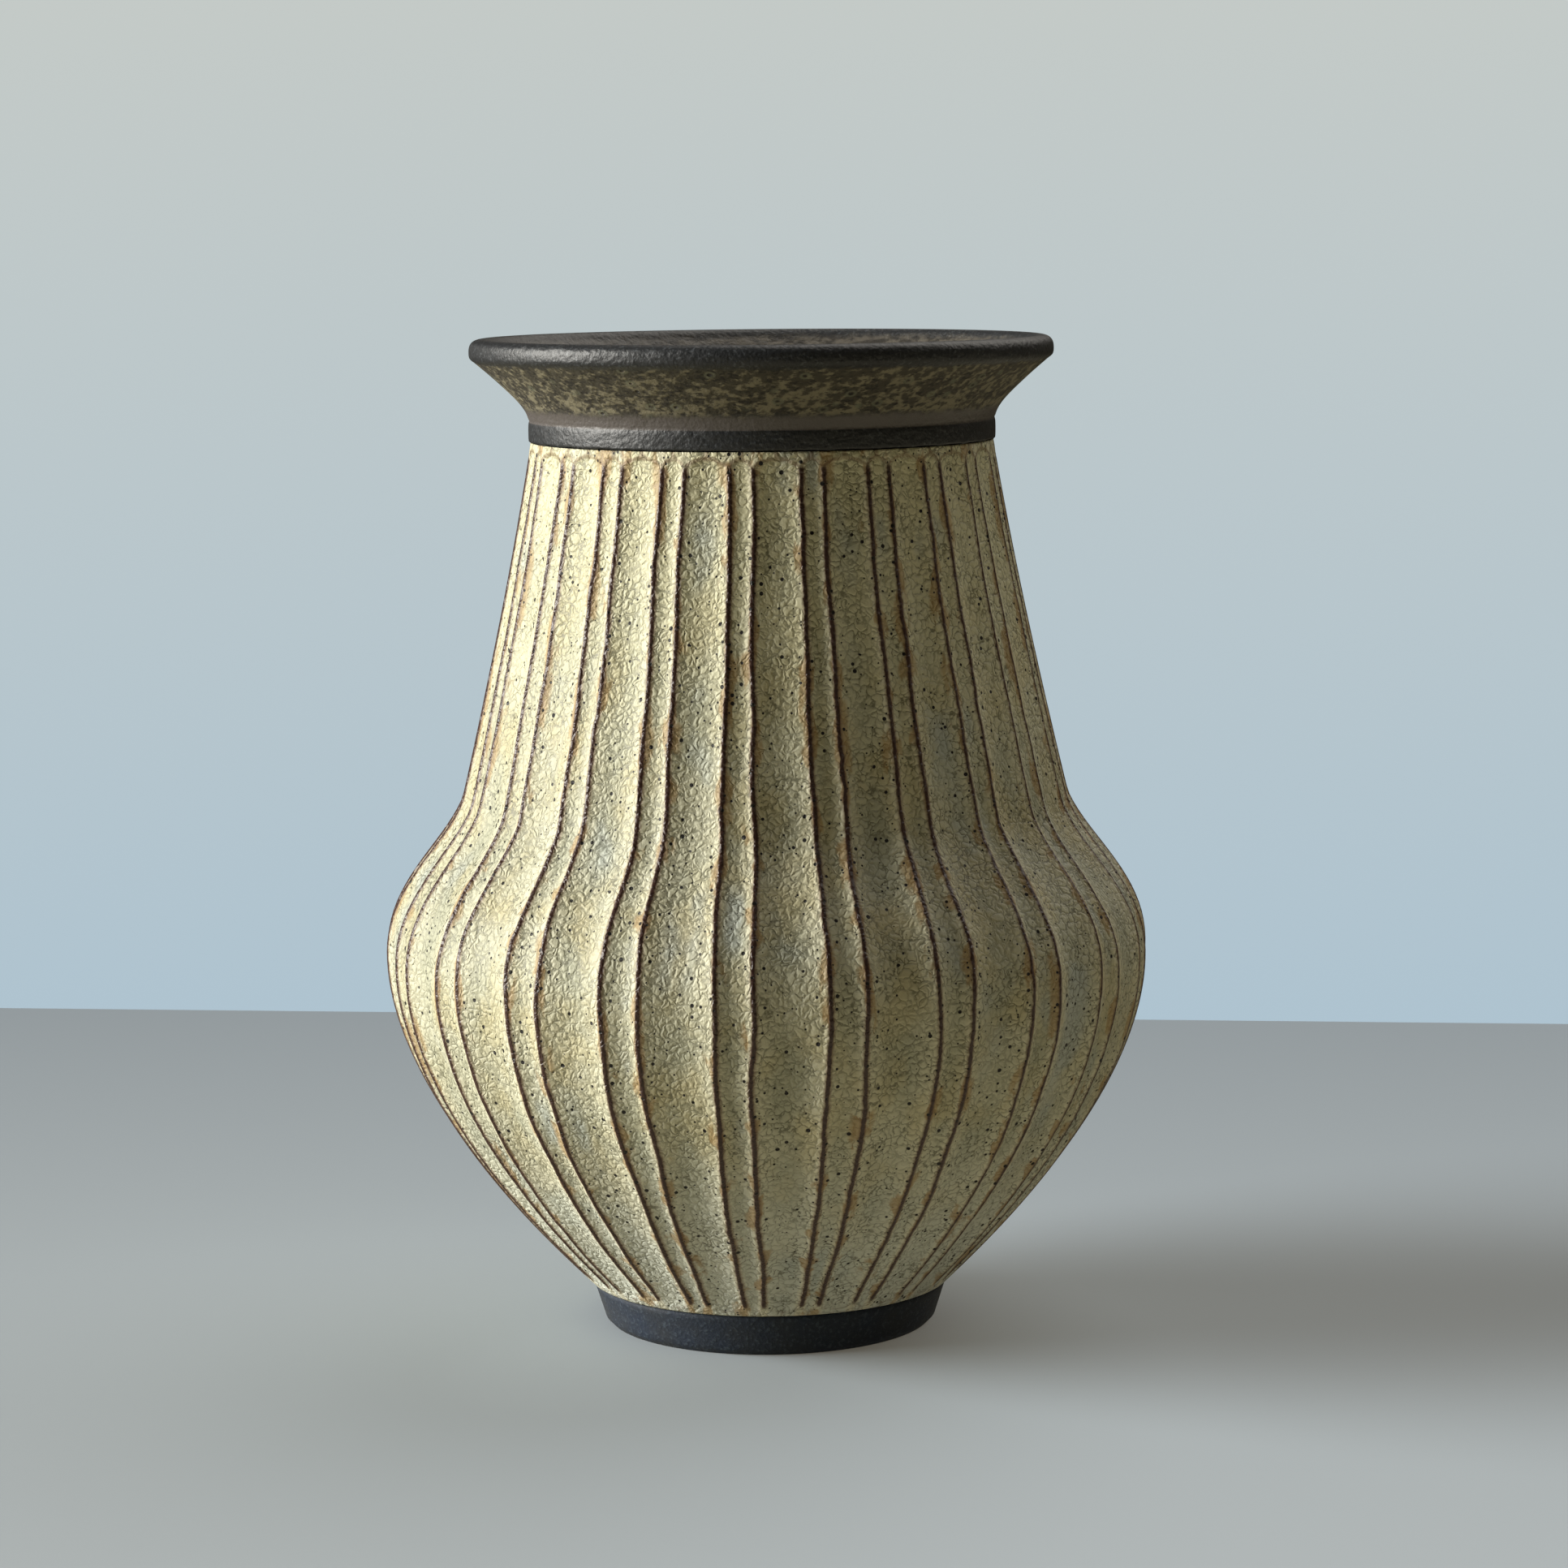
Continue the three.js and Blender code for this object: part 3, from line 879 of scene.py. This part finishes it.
# %% Zones along the rim line
def zone_masks(tree, along, ragged_noise):
    """Masks for the flare, the band and the inside, with ragged edges where two glazes met."""
    ragged = node(tree, "Math", [ragged_noise, 2, -1], 0, operation="MULTIPLY_ADD")
    edge = node(tree, "Math", [along, ragged], 0, operation="ADD")
    above_band = node(tree, "MapRange", [edge, band_end - 1, band_end + 1.2], 0, **SMOOTH)
    below_lip = node(tree, "MapRange", [edge, flare_end - 1.6, flare_end - 0.2, 1, 0], 0, **SMOOTH)
    on_flare = node(tree, "Math", [above_band, below_lip], 0, operation="MULTIPLY")
    feeds = [along, collar_length - 0.1, collar_length + 0.3]
    above_collar = node(tree, "MapRange", feeds, 0, **SMOOTH)
    below_flare = node(tree, "MapRange", [edge, band_end - 1, band_end + 1, 1, 0], 0, **SMOOTH)
    on_band = node(tree, "Math", [above_collar, below_flare], 0, operation="MULTIPLY")
    inside = node(tree, "MapRange", [edge, lip_end - 1.5, lip_end + 1.5], 0, **SMOOTH)
    return on_flare, on_band, inside


print(f"plum-grey band from {collar_length:.1f} to {band_end:.1f} mm along the rim line")

# %% Mottle and pits on the flare
PIT_CELL = 5.4


def mottle_masks(tree, noise, along):
    """Masks for the tan patches and the dark dashes, with less tan towards the lip."""
    feeds = [noise["blotch"], 0.3, 0.7, 0.1, -0.1]
    patch = node(tree, "MapRange", feeds, 0)
    feeds = [along, band_end + 3, flare_end, 0, -0.07]
    nearer_lip = node(tree, "MapRange", feeds, 0, **SMOOTH)
    tan = node(tree, "Math", [noise["mottle"], patch], 0, operation="ADD")
    tan = node(tree, "Math", [tan, nearer_lip], 0, operation="ADD")
    tan = node(tree, "MapRange", [tan, 0.42, 0.6], 0, **SMOOTH)
    dashes = node(tree, "Math", [noise["dashes"], patch], 0, operation="SUBTRACT")
    dashes = node(tree, "MapRange", [dashes, 0.53, 0.66, 0, 0.85], 0, **SMOOTH)
    return tan, dashes


def pit_masks(tree, place):
    """Masks for the pits, one to a cell, and for the pale ring around some of them."""
    where = node(tree, "Mapping", {"Vector": place, "Scale": (1, 1, 1.4)}, 0)
    cell = node(tree, "TexVoronoi", {"Vector": where, "Scale": per_metre(PIT_CELL)})
    away = cell.outputs["Distance"]
    pick = node(tree, "SeparateColor", [cell.outputs["Color"]], "Red")
    ringed = node(tree, "MapRange", [pick, 0.35, 0.6, 0, 0.75], 0, **SMOOTH)
    ring_inside = node(tree, "MapRange", [away, 0.1, 0.17], 0, **SMOOTH)
    ring_outside = node(tree, "MapRange", [away, 0.19, 0.3, 1, 0], 0, **SMOOTH)
    halo = node(tree, "Math", [ring_inside, ring_outside], 0, operation="MULTIPLY")
    halo = node(tree, "Math", [halo, ringed], 0, operation="MULTIPLY")
    pit = node(tree, "MapRange", [away, 0.05, 0.12, 1, 0], 0, **SMOOTH)
    return pit, halo


print("pits are about", PIT_CELL, "mm apart")

# %% Building the rim glaze
# Each noise: the size of its waves in millimetres, how much finer detail, and its upright scale,
# which is more than one where the waves are squeezed flat.
RIM_NOISES = {
    "ragged": (3.5, 3, 1),
    "glitter": (0.8, 2, 1),
    "blotch": (7, 3, 1.6),
    "mottle": (1.9, 5, 1.6),
    "dashes": (1.4, 4, 2.4),
    "inner": (3, 4, 2.2),
    "grain": (0.9, 3, 1),
    "waves": (3.2, 2, 1.5),
}
COLLAR_ROUGHNESS = 0.39
FLARE_ROUGHNESS = 0.64
RIM_RELIEF = 0.2
RIM_IOR = 1.55


def make_rim_glaze():
    """Dark satin glaze, mottled on the flare."""
    material, tree = new_material("gunmetal_satin_stoneware_glaze")
    place = node(tree, "TexCoord", (), "Object")
    along = node(tree, "Attribute", (), "Fac", attribute_name="along_rim")
    noise = {}
    for name, (size, detail, upright) in RIM_NOISES.items():
        where = node(tree, "Mapping", {"Vector": place, "Scale": (1, 1, upright)}, 0)
        feeds = {"Vector": where, "Scale": per_metre(size), "Detail": detail}
        noise[name] = node(tree, "TexNoise", feeds, "Fac")
    on_flare, on_band, inside = zone_masks(tree, along, noise["ragged"])
    tan, dashes = mottle_masks(tree, noise, along)
    pit, halo = pit_masks(tree, place)

    mottled = FLARE_OLIVE
    for mask, over in ((tan, FLARE_TAN), (dashes, FLARE_DARK), (halo, HALO), (pit, FLARE_DARK)):
        feeds = {FACTOR: mask, FIRST: mottled, SECOND: over}
        mottled = node(tree, "Mix", feeds, BLEND, **IN_COLOUR)
    shade = node(tree, "MapRange", [noise["inner"], 0.4, 0.62, 0, 0.8], 0, **SMOOTH)
    feeds = {FACTOR: shade, FIRST: INNER_BROWN, SECOND: FLARE_DARK}
    inner = node(tree, "Mix", feeds, BLEND, **IN_COLOUR)
    # The glint is partly painted: paler specks in the colour stand in for metallic crystals catching
    # the light.
    glint = node(tree, "MapRange", [noise["glitter"], 0.55, 0.72, 0, 0.6], 0, **SMOOTH)
    colour = GUNMETAL
    for mask, over in (
        (glint, GUNMETAL_GLINT),
        (on_band, PLUM_GREY),
        (on_flare, mottled),
        (inside, inner),
    ):
        feeds = {FACTOR: mask, FIRST: colour, SECOND: over}
        colour = node(tree, "Mix", feeds, BLEND, **IN_COLOUR)

    # Satin on the collar, the band and the lip, and drier on the flare.
    feeds = [on_flare, 0, 1, COLLAR_ROUGHNESS, FLARE_ROUGHNESS]
    satin = node(tree, "MapRange", feeds, 0)
    feeds = [noise["grain"], 0.16, satin]
    roughness = node(tree, "Math", feeds, 0, operation="MULTIPLY_ADD")
    pits = node(tree, "Math", [pit, on_flare], 0, operation="MULTIPLY")
    patches = node(tree, "Math", [tan, on_flare], 0, operation="MULTIPLY")
    relief = noise["grain"]
    for height, weight in ((pits, -1.2), (patches, 0.3), (noise["waves"], 1.4)):
        relief = node(tree, "Math", [height, weight, relief], 0, operation="MULTIPLY_ADD")
    feeds = {"Height": relief, "Strength": 1, "Distance": RIM_RELIEF * MM}
    bump = node(tree, "Bump", feeds, 0)
    feeds = {"Base Color": colour, "Roughness": roughness, "Normal": bump, "IOR": RIM_IOR}
    surface = node(tree, "BsdfPrincipled", feeds, "BSDF")
    node(tree, "OutputMaterial", [surface])
    return material


gunmetal_glaze = make_rim_glaze()
print("made", gunmetal_glaze.name, "of", len(gunmetal_glaze.node_tree.nodes), "nodes")

# %% The rim coat
RIM_COLUMNS = 384
RIM_ROWS = 121
RIM_WAVES = ((40, 0.05), (15, 0.03))
LAP_WAVES = ((8, 0.16), (3.7, 0.12), (1.9, 0.07))
LAP_REACH = 2
LAP_DEPTH = 0.5
SHELF_HALF_WIDTH = 0.8
SHELF_MIDDLE = flare_end + 0.7

rim_distances = np.linspace(0, rim_length, RIM_ROWS)
rim_at, rim_out = places(rim_line, rim_distances)
rim_angles = np.arange(RIM_COLUMNS) * 360 / RIM_COLUMNS


def swell(distance, middle, half_width):
    """A smooth hump, one high, at a distance along a line."""
    away = (distance - middle) / half_width
    return np.exp(-away * away)


throwing = waves(rim_distances, RIM_WAVES, 1)[0]
proud = COLLAR_SWELL * np.sin(np.clip(rim_distances / collar_length, 0, 1) * math.pi) ** 0.5
proud -= SCORE_DEPTH * swell(rim_distances, collar_length + SCORE_HALF_WIDTH, SCORE_HALF_WIDTH)
proud += LIP_SHELF * swell(rim_distances, SHELF_MIDDLE, SHELF_HALF_WIDTH)
rim_proud = (proud + throwing)[:, None]
# The dark glaze ran down a little here and there, so the lower edge of the collar is lumpy.
lap_fade = np.clip(1 - rim_distances / LAP_REACH, 0, 1)[:, None]
around_collar = rim_angles * COLLAR_RADIUS * math.pi / 180
lap = lap_fade * np.clip(waves(around_collar, LAP_WAVES, 1), -LAP_DEPTH, 0)


def rim_surface(depth):
    """Points of the rim coat at a depth below its face."""
    at = rim_at + rim_out * (rim_proud - depth)
    return turned_points(at[:, :1], at[:, 1:] + lap, rim_angles)


rim_face = rim_surface(0)
rim_back = rim_surface(COAT_THICKNESS)[::BACK_STRIDE, ::BACK_STRIDE]
rim_points, rim_faces = skin(rim_face, rim_back)
rim_along = np.repeat(rim_distances, RIM_COLUMNS)
back_along = np.repeat(rim_distances[::BACK_STRIDE], RIM_COLUMNS // BACK_STRIDE)
rim_coat = make_piece(
    "rim_coat",
    rim_points,
    rim_faces,
    {"along_rim": np.concatenate([rim_along, back_along])},
    gunmetal_glaze,
    "rim_glaze",
)

# %% [markdown]
# ## The glaze inside
#
# The potter poured glaze in, swilled it round and tipped it out. It covers the floor and the wall
# right up to the throat, thin and brown, and it still shows the rings that the fingers left. Its
# mesh is a turned solid, like the foot, so it is made after the foot.

# %% Glaze inside
LINER_BROWN = linear("#5a5347")
LINER_DARK = linear("#39332b")
LINER_PALE = linear("#777061")
LINER_RELIEF = 0.1
LINER_ROUGHNESS = (0.42, 0.6)


def make_liner_glaze():
    """Thin brown glaze, poured."""
    material, tree = new_material("poured_brown_stoneware_glaze")
    place = node(tree, "TexCoord", (), "Object")
    flat = node(tree, "Mapping", {"Vector": place, "Scale": (1, 1, 2.2)}, 0)
    feeds = {"Vector": flat, "Scale": per_metre(8), "Detail": 4}
    broad = node(tree, "TexNoise", feeds, "Fac")
    feeds = {"Vector": place, "Scale": per_metre(1.4), "Detail": 3}
    fine = node(tree, "TexNoise", feeds, "Fac")
    dark = node(tree, "MapRange", [broad, 0.4, 0.62], 0)
    pale = node(tree, "MapRange", [fine, 0.56, 0.72, 0, 0.6], 0)
    colour = LINER_BROWN
    for share, over in ((dark, LINER_DARK), (pale, LINER_PALE)):
        feeds = {FACTOR: share, FIRST: colour, SECOND: over}
        colour = node(tree, "Mix", feeds, BLEND, **IN_COLOUR)
    roughness = node(tree, "MapRange", [fine, 0, 1, *LINER_ROUGHNESS], 0)
    bump = node(tree, "Bump", {"Height": fine, "Distance": LINER_RELIEF * MM}, 0)
    feeds = {"Base Color": colour, "Roughness": roughness, "Normal": bump, "IOR": GLAZE_IOR}
    surface = node(tree, "BsdfPrincipled", feeds, "BSDF")
    node(tree, "OutputMaterial", [surface])
    return material


brown_liner_glaze = make_liner_glaze()
print("made", brown_liner_glaze.name)

# %% [markdown]
# ## The bare foot
#
# Below the glaze line the potter wiped the clay clean and trimmed a foot on the wheel. The body is
# a stoneware with a lot of iron, which fires to a blue-black as dry as slate. Fine grog, about
# half a millimetre across and here drawn a little coarser so that it shows, gives it a tooth.

# %% Clay for the foot and the hidden walls
CLAY_BLUE_BLACK = linear("#19273b")
CLAY_WARM = linear("#232a34")
GROG = linear("#46525f")
GROG_GRAIN = 0.9
CLAY_CLOUD = 9
CLAY_RELIEF = 0.16
CLAY_IOR = 1.45
BARE_ROUGHNESS = 0.72
RAW_ROUGHNESS = 0.9


def make_clay(name, first, second, roughness):
    """Dry fired clay with fine grog in it."""
    material, tree = new_material(name)
    place = node(tree, "TexCoord", (), "Object")
    feeds = {"Vector": place, "Scale": per_metre(CLAY_CLOUD), "Detail": 4}
    cloud = node(tree, "TexNoise", feeds, "Fac")
    feeds = {"Vector": place, "Scale": per_metre(GROG_GRAIN), "Detail": 2}
    tooth = node(tree, "TexNoise", feeds, "Fac")
    clouded = node(tree, "MapRange", [cloud, 0.35, 0.65], 0)
    specked = node(tree, "MapRange", [tooth, 0.54, 0.7, 0, 0.6], 0)
    colour = first
    for share, over in ((clouded, second), (specked, GROG)):
        feeds = {FACTOR: share, FIRST: colour, SECOND: over}
        colour = node(tree, "Mix", feeds, BLEND, **IN_COLOUR)
    bump = node(tree, "Bump", {"Height": tooth, "Distance": CLAY_RELIEF * MM}, 0)
    feeds = {"Base Color": colour, "Roughness": roughness, "Normal": bump, "IOR": CLAY_IOR}
    surface = node(tree, "BsdfPrincipled", feeds, "BSDF")
    node(tree, "OutputMaterial", [surface])
    return material


bare_clay = make_clay("bare_blue_black_stoneware", CLAY_BLUE_BLACK, CLAY_WARM, BARE_ROUGHNESS)
raw_clay = make_clay("raw_dark_stoneware", CLAY_WARM, CLAY_BLUE_BLACK, RAW_ROUGHNESS)
for name in ("lower_wall", "neck_wall", "collar_band", "flared_rim"):
    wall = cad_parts[name]
    wall.data.materials.clear()
    wall.data.materials.append(raw_clay)
print("made", bare_clay.name, "and", raw_clay.name)

# %% A turned solid that closes on the axis
def turned_solid(line, columns):
    """Points and faces of a line turned about the axis. The line starts and ends on the axis."""
    angles = np.arange(columns) * 360 / columns
    rings = turned_points(line[1:-1, :1], line[1:-1, 1:], angles)
    rows = len(rings)
    ends = np.array([[0, 0, line[0, 1]], [0, 0, line[-1, 1]]]) * MM
    points = np.vstack([rings.reshape(-1, 3), ends])
    faces = ring_faces(rows, columns)
    first, last = rows * columns, rows * columns + 1
    top = (rows - 1) * columns
    for i in range(columns):
        after = (i + 1) % columns
        faces.append([first, after, i])
        faces.append([last, top + i, top + after])
    return points, faces


rod_points, rod_faces = turned_solid(np.array([(0, 0), (5, 0), (5, 9), (0, 9)]), 6)
print(f"a six-sided rod has {len(rod_points)} points and {len(rod_faces)} faces")

# %% The bare foot itself
FOOT_FLOOR_RADIUS = 38.6
FOOT_TOP_RADIUS = 41.3
FOOT_EDGE_ROUND = 1.2
FOOT_RING_WIDTH = 7
FOOT_RECESS_DEPTH = 5
GLAZE_GAP = 0.3
HIDDEN_STEP = 6
HIDDEN_RISE = 1
POINTS_PER_STRETCH = 7
FOOT_COLUMNS = 256

# From the middle of the hollow under the foot, round the ring it stands on and up the outside. The
# top is hidden by clay and glaze, so it only has to close the piece.
ring_inside = FOOT_FLOOR_RADIUS - FOOT_RING_WIDTH
foot_corners = [
    (0, FOOT_RECESS_DEPTH),
    (ring_inside - FOOT_EDGE_ROUND, FOOT_RECESS_DEPTH),
    (ring_inside, FOOT_EDGE_ROUND),
    (ring_inside + FOOT_EDGE_ROUND, 0),
    (FOOT_FLOOR_RADIUS - FOOT_EDGE_ROUND, 0),
    (FOOT_FLOOR_RADIUS, FOOT_EDGE_ROUND),
    (FOOT_TOP_RADIUS, GLAZE_LINE - GLAZE_GAP),
    (FOOT_TOP_RADIUS - HIDDEN_STEP, GLAZE_LINE + HIDDEN_RISE),
    (0, GLAZE_LINE + HIDDEN_RISE),
]
foot_line = joined(*[
    np.linspace(a, b, POINTS_PER_STRETCH) for a, b in zip(foot_corners, foot_corners[1:])
])
foot_points, foot_faces = turned_solid(foot_line, FOOT_COLUMNS)
bare_foot = make_piece(
    "bare_foot", foot_points, foot_faces, {}, bare_clay, "turned_foot"
)

# %% The coat inside
LINER_FACE_DEPTH = 7.4
LINER_THICKNESS = 0.8
FLOOR_CORNER = 33
FLOOR_CURVE = 2
RING_SPACING = 9
RING_DEPTH = 0.28
THROAT_GAP = 0.6
FLOOR_LIFT = 0.5
ROOM_LIFT = 1.5
LINER_COLUMNS = 240
LINER_ROWS = 121

# The outline goes out along the floor and up beside the clay wall, turns over at the throat and
# comes down again on the side of the room in the vase, where the finger rings are.
throat_end = COLLAR_TOP + THROAT_STRIP - THROAT_GAP
liner_distances = np.linspace(0, body_length, LINER_ROWS)
liner_at, liner_out = places(body_line, liner_distances)
wall_side = liner_at - liner_out * LINER_FACE_DEPTH
rings = RING_DEPTH * np.sin(liner_distances * 2 * math.pi / RING_SPACING)
room_side = wall_side - liner_out * (LINER_THICKNESS + rings[:, None] * 0.5 + RING_DEPTH * 0.5)
floor_height = liner_low[2]
liner_outline = np.vstack([
    [(0, floor_height)],
    [(FLOOR_CORNER, floor_height)],
    wall_side[wall_side[:, 1] > floor_height + FLOOR_LIFT],
    [(THROAT_RADIUS + LINER_THICKNESS, throat_end)],
    [(THROAT_RADIUS, throat_end)],
    room_side[room_side[:, 1] > floor_height + ROOM_LIFT][::-1],
    [(FLOOR_CORNER - FLOOR_CURVE, floor_height + LINER_THICKNESS)],
    [(0, floor_height + LINER_THICKNESS)],
])
liner_points, liner_faces = turned_solid(liner_outline, LINER_COLUMNS)
liner_coat = make_piece(
    "liner_coat",
    liner_points,
    liner_faces,
    {},
    brown_liner_glaze,
    "liner_glaze",
)
pieces = (cream_coat, rim_coat, bare_foot, liner_coat)
print("new pieces:", ", ".join(piece.name for piece in pieces))

# %% [markdown]
# ## The board
#
# A pale painted board to stand on, which ends a little way behind the vase. It is plain, so that
# nothing takes the eye from the glaze, and its far edge runs very slightly askew, as a board does
# when nobody has squared it to the camera. A very faint glow of its own stands in for the light
# that the walls and ceiling of a real room throw back into every shadow, and the light that
# bounces off the board is warmer than the board looks, as it is in a room with wooden things in it.

# %% Board paint
BOARD_NEAR = linear("#b2bec8")
# The far end is darker: painted shade, standing for the light falling off across the board.
BOARD_FAR_SHADED = linear("#7f8e9d")
BOARD_BOUNCE = linear("#9f9b88")
BOARD_ROUGHNESS = 0.8
BOARD_SHINE = 0.1
BOARD_GLOW = 0.09
GLOW_TONE = linear("#fff4dc")
FADE_FROM, FADE_TO = -0.45, 0.38


def make_board_paint():
    """Flat grey-white emulsion, a little darker towards the back as painted shade."""
    material, tree = new_material("flat_pale_paint")
    place = node(tree, "TexCoord", (), "Object")
    depth = node(tree, "SeparateXYZ", [place], "Y")
    share = node(tree, "MapRange", [depth, FADE_FROM, FADE_TO], 0)
    feeds = {FACTOR: share, FIRST: BOARD_NEAR, SECOND: BOARD_FAR_SHADED}
    colour = node(tree, "Mix", feeds, BLEND, **IN_COLOUR)
    seen = node(tree, "LightPath", (), "Is Camera Ray")
    feeds = {FACTOR: seen, FIRST: BOARD_BOUNCE, SECOND: colour}
    colour = node(tree, "Mix", feeds, BLEND, **IN_COLOUR)
    feeds = {
        "Base Color": colour,
        "Roughness": BOARD_ROUGHNESS,
        "Specular IOR Level": BOARD_SHINE,
        "Emission Color": GLOW_TONE,
        "Emission Strength": BOARD_GLOW,
    }
    surface = node(tree, "BsdfPrincipled", feeds, "BSDF")
    node(tree, "OutputMaterial", [surface])
    return material


flat_pale_paint = make_board_paint()
print("made", flat_pale_paint.name)

# %% Board
# The board is the only thing here in metres, because it is as large as a table.
BOARD_LEFT, BOARD_RIGHT = -1.6, 1.6
BOARD_FRONT, BOARD_BACK = -1.6, 0.375
BOARD_THICKNESS = 0.02
BOARD_TURN = -6

board_outline = [
    (BOARD_LEFT, BOARD_FRONT),
    (BOARD_RIGHT, BOARD_FRONT),
    (BOARD_RIGHT, BOARD_BACK),
    (BOARD_LEFT, BOARD_BACK),
]
board_corners = [(x, y, z) for z in (-BOARD_THICKNESS, 0) for x, y in board_outline]
board_sides = [(i, (i + 1) % 4, (i + 1) % 4 + 4, i + 4) for i in range(4)]
board_mesh = bpy.data.meshes.new("pale_board")
board_mesh.from_pydata(board_corners, [], [(3, 2, 1, 0), (4, 5, 6, 7), *board_sides])
board_mesh.materials.append(flat_pale_paint)
board = bpy.data.objects.new("pale_board", board_mesh)
board.matrix_world = Matrix.Rotation(math.radians(BOARD_TURN), 4, "Z")
bpy.context.scene.collection.objects.link(board)
print("the board measures", [round(side, 3) for side in board.dimensions], "metres")

# %% [markdown]
# ## Light
#
# One broad, soft light stands low on the left, as a tall window would, and little fills the shade,
# so each flute shows as a dark side and a bright side. A sun lamp with a wide angle gives just
# this: even light with soft-edged shadows. A second, much weaker and softer sun from high at the
# back is the rest of the room: it lifts the shadow on the board and draws the far edge of the pot.
# The world gives a pale backdrop to the camera, but only a faint warm fill to everything else.
#
# Blender shows pictures through a film-like curve by default, which greys strong light. The plain
# Standard view keeps each colour as it was chosen.

# %% Window light and room light
WINDOW_STRENGTH = 6.1
WINDOW_TONE = linear("#fffcf4")[:3]
WINDOW_ANGLE = 38
WINDOW_TURN = -88
WINDOW_HEIGHT = 17
ROOM_STRENGTH = 1.3
ROOM_TONE = linear("#fff9f0")[:3]
ROOM_ANGLE = 60
ROOM_TURN = 140
ROOM_HEIGHT = 50

bpy.context.scene.view_settings.view_transform = "Standard"


def sun(name, strength, tone, angle, turn, height):
    """A sun lamp that shines from this far round the pot and this high above it, in degrees."""
    lamp = bpy.data.lights.new(name, "SUN")
    lamp.energy = strength
    lamp.color = tone
    lamp.angle = math.radians(angle)
    made = bpy.data.objects.new(name + "_light", lamp)
    bpy.context.scene.collection.objects.link(made)
    turned = Matrix.Rotation(math.radians(turn), 4, "Z")
    made.matrix_world = turned @ Matrix.Rotation(math.radians(90 - height), 4, "X")
    return made


window_light = sun(
    "window", WINDOW_STRENGTH, WINDOW_TONE, WINDOW_ANGLE, WINDOW_TURN, WINDOW_HEIGHT
)
room_light = sun("room", ROOM_STRENGTH, ROOM_TONE, ROOM_ANGLE, ROOM_TURN, ROOM_HEIGHT)
print("lights:", window_light.name, "and", room_light.name)

# %% Fill and backdrop
FILL_TONE = linear("#ffe6b4")
FILL_STRENGTH = 0.03
BACKDROP_STRENGTH = 1
BACKDROP_LOW = linear("#aec3d0")
BACKDROP_HIGH = linear("#c4cac7")
LOW_SLOPE, HIGH_SLOPE = -0.19, 0.05

world = bpy.data.worlds.new("studio")
world.use_nodes = True
bpy.context.scene.world = world
sky = world.node_tree
sky.nodes.clear()
direction = node(sky, "TexCoord", (), "Generated")
slope = node(sky, "SeparateXYZ", [direction], "Z")
blend = node(sky, "MapRange", [slope, LOW_SLOPE, HIGH_SLOPE], 0)
feeds = {FACTOR: blend, FIRST: BACKDROP_LOW, SECOND: BACKDROP_HIGH}
backdrop_tone = node(sky, "Mix", feeds, BLEND, **IN_COLOUR)
backdrop = node(sky, "Background", [backdrop_tone, BACKDROP_STRENGTH], 0)
fill = node(sky, "Background", [FILL_TONE, FILL_STRENGTH], 0)
seen = node(sky, "LightPath", (), "Is Camera Ray")
either = node(sky, "MixShader", [seen, fill, backdrop], 0)
node(sky, "OutputWorld", [either])
print("made the world", world.name, "of", len(sky.nodes), "nodes")

# %% [markdown]
# ## The camera
#
# A long lens from about a metre away, a little above the lip and tipped down, so that the vase
# keeps its proportions and only a sliver of the mouth shows.

# %% Camera
LENS = 98.76
SENSOR_WIDTH = 36
FARTHEST_SEEN = 100
CAMERA_PLACE = (0.004275, -0.98395, 0.25541)
CAMERA_TIP = 7.544
CAMERA_ROLL = -0.53

lens = bpy.data.cameras.new("long_lens")
lens.lens = LENS
lens.sensor_width = SENSOR_WIDTH
lens.clip_end = FARTHEST_SEEN
camera = bpy.data.objects.new("camera", lens)
bpy.context.scene.collection.objects.link(camera)
aim = Matrix.Rotation(math.radians(90 - CAMERA_TIP), 4, "X")
roll = Matrix.Rotation(math.radians(CAMERA_ROLL), 4, "Z")
camera.matrix_world = Matrix.Translation(CAMERA_PLACE) @ aim @ roll
bpy.context.scene.camera = camera
print(f"the camera stands {math.hypot(*CAMERA_PLACE):.2f} m from the foot of the vase")
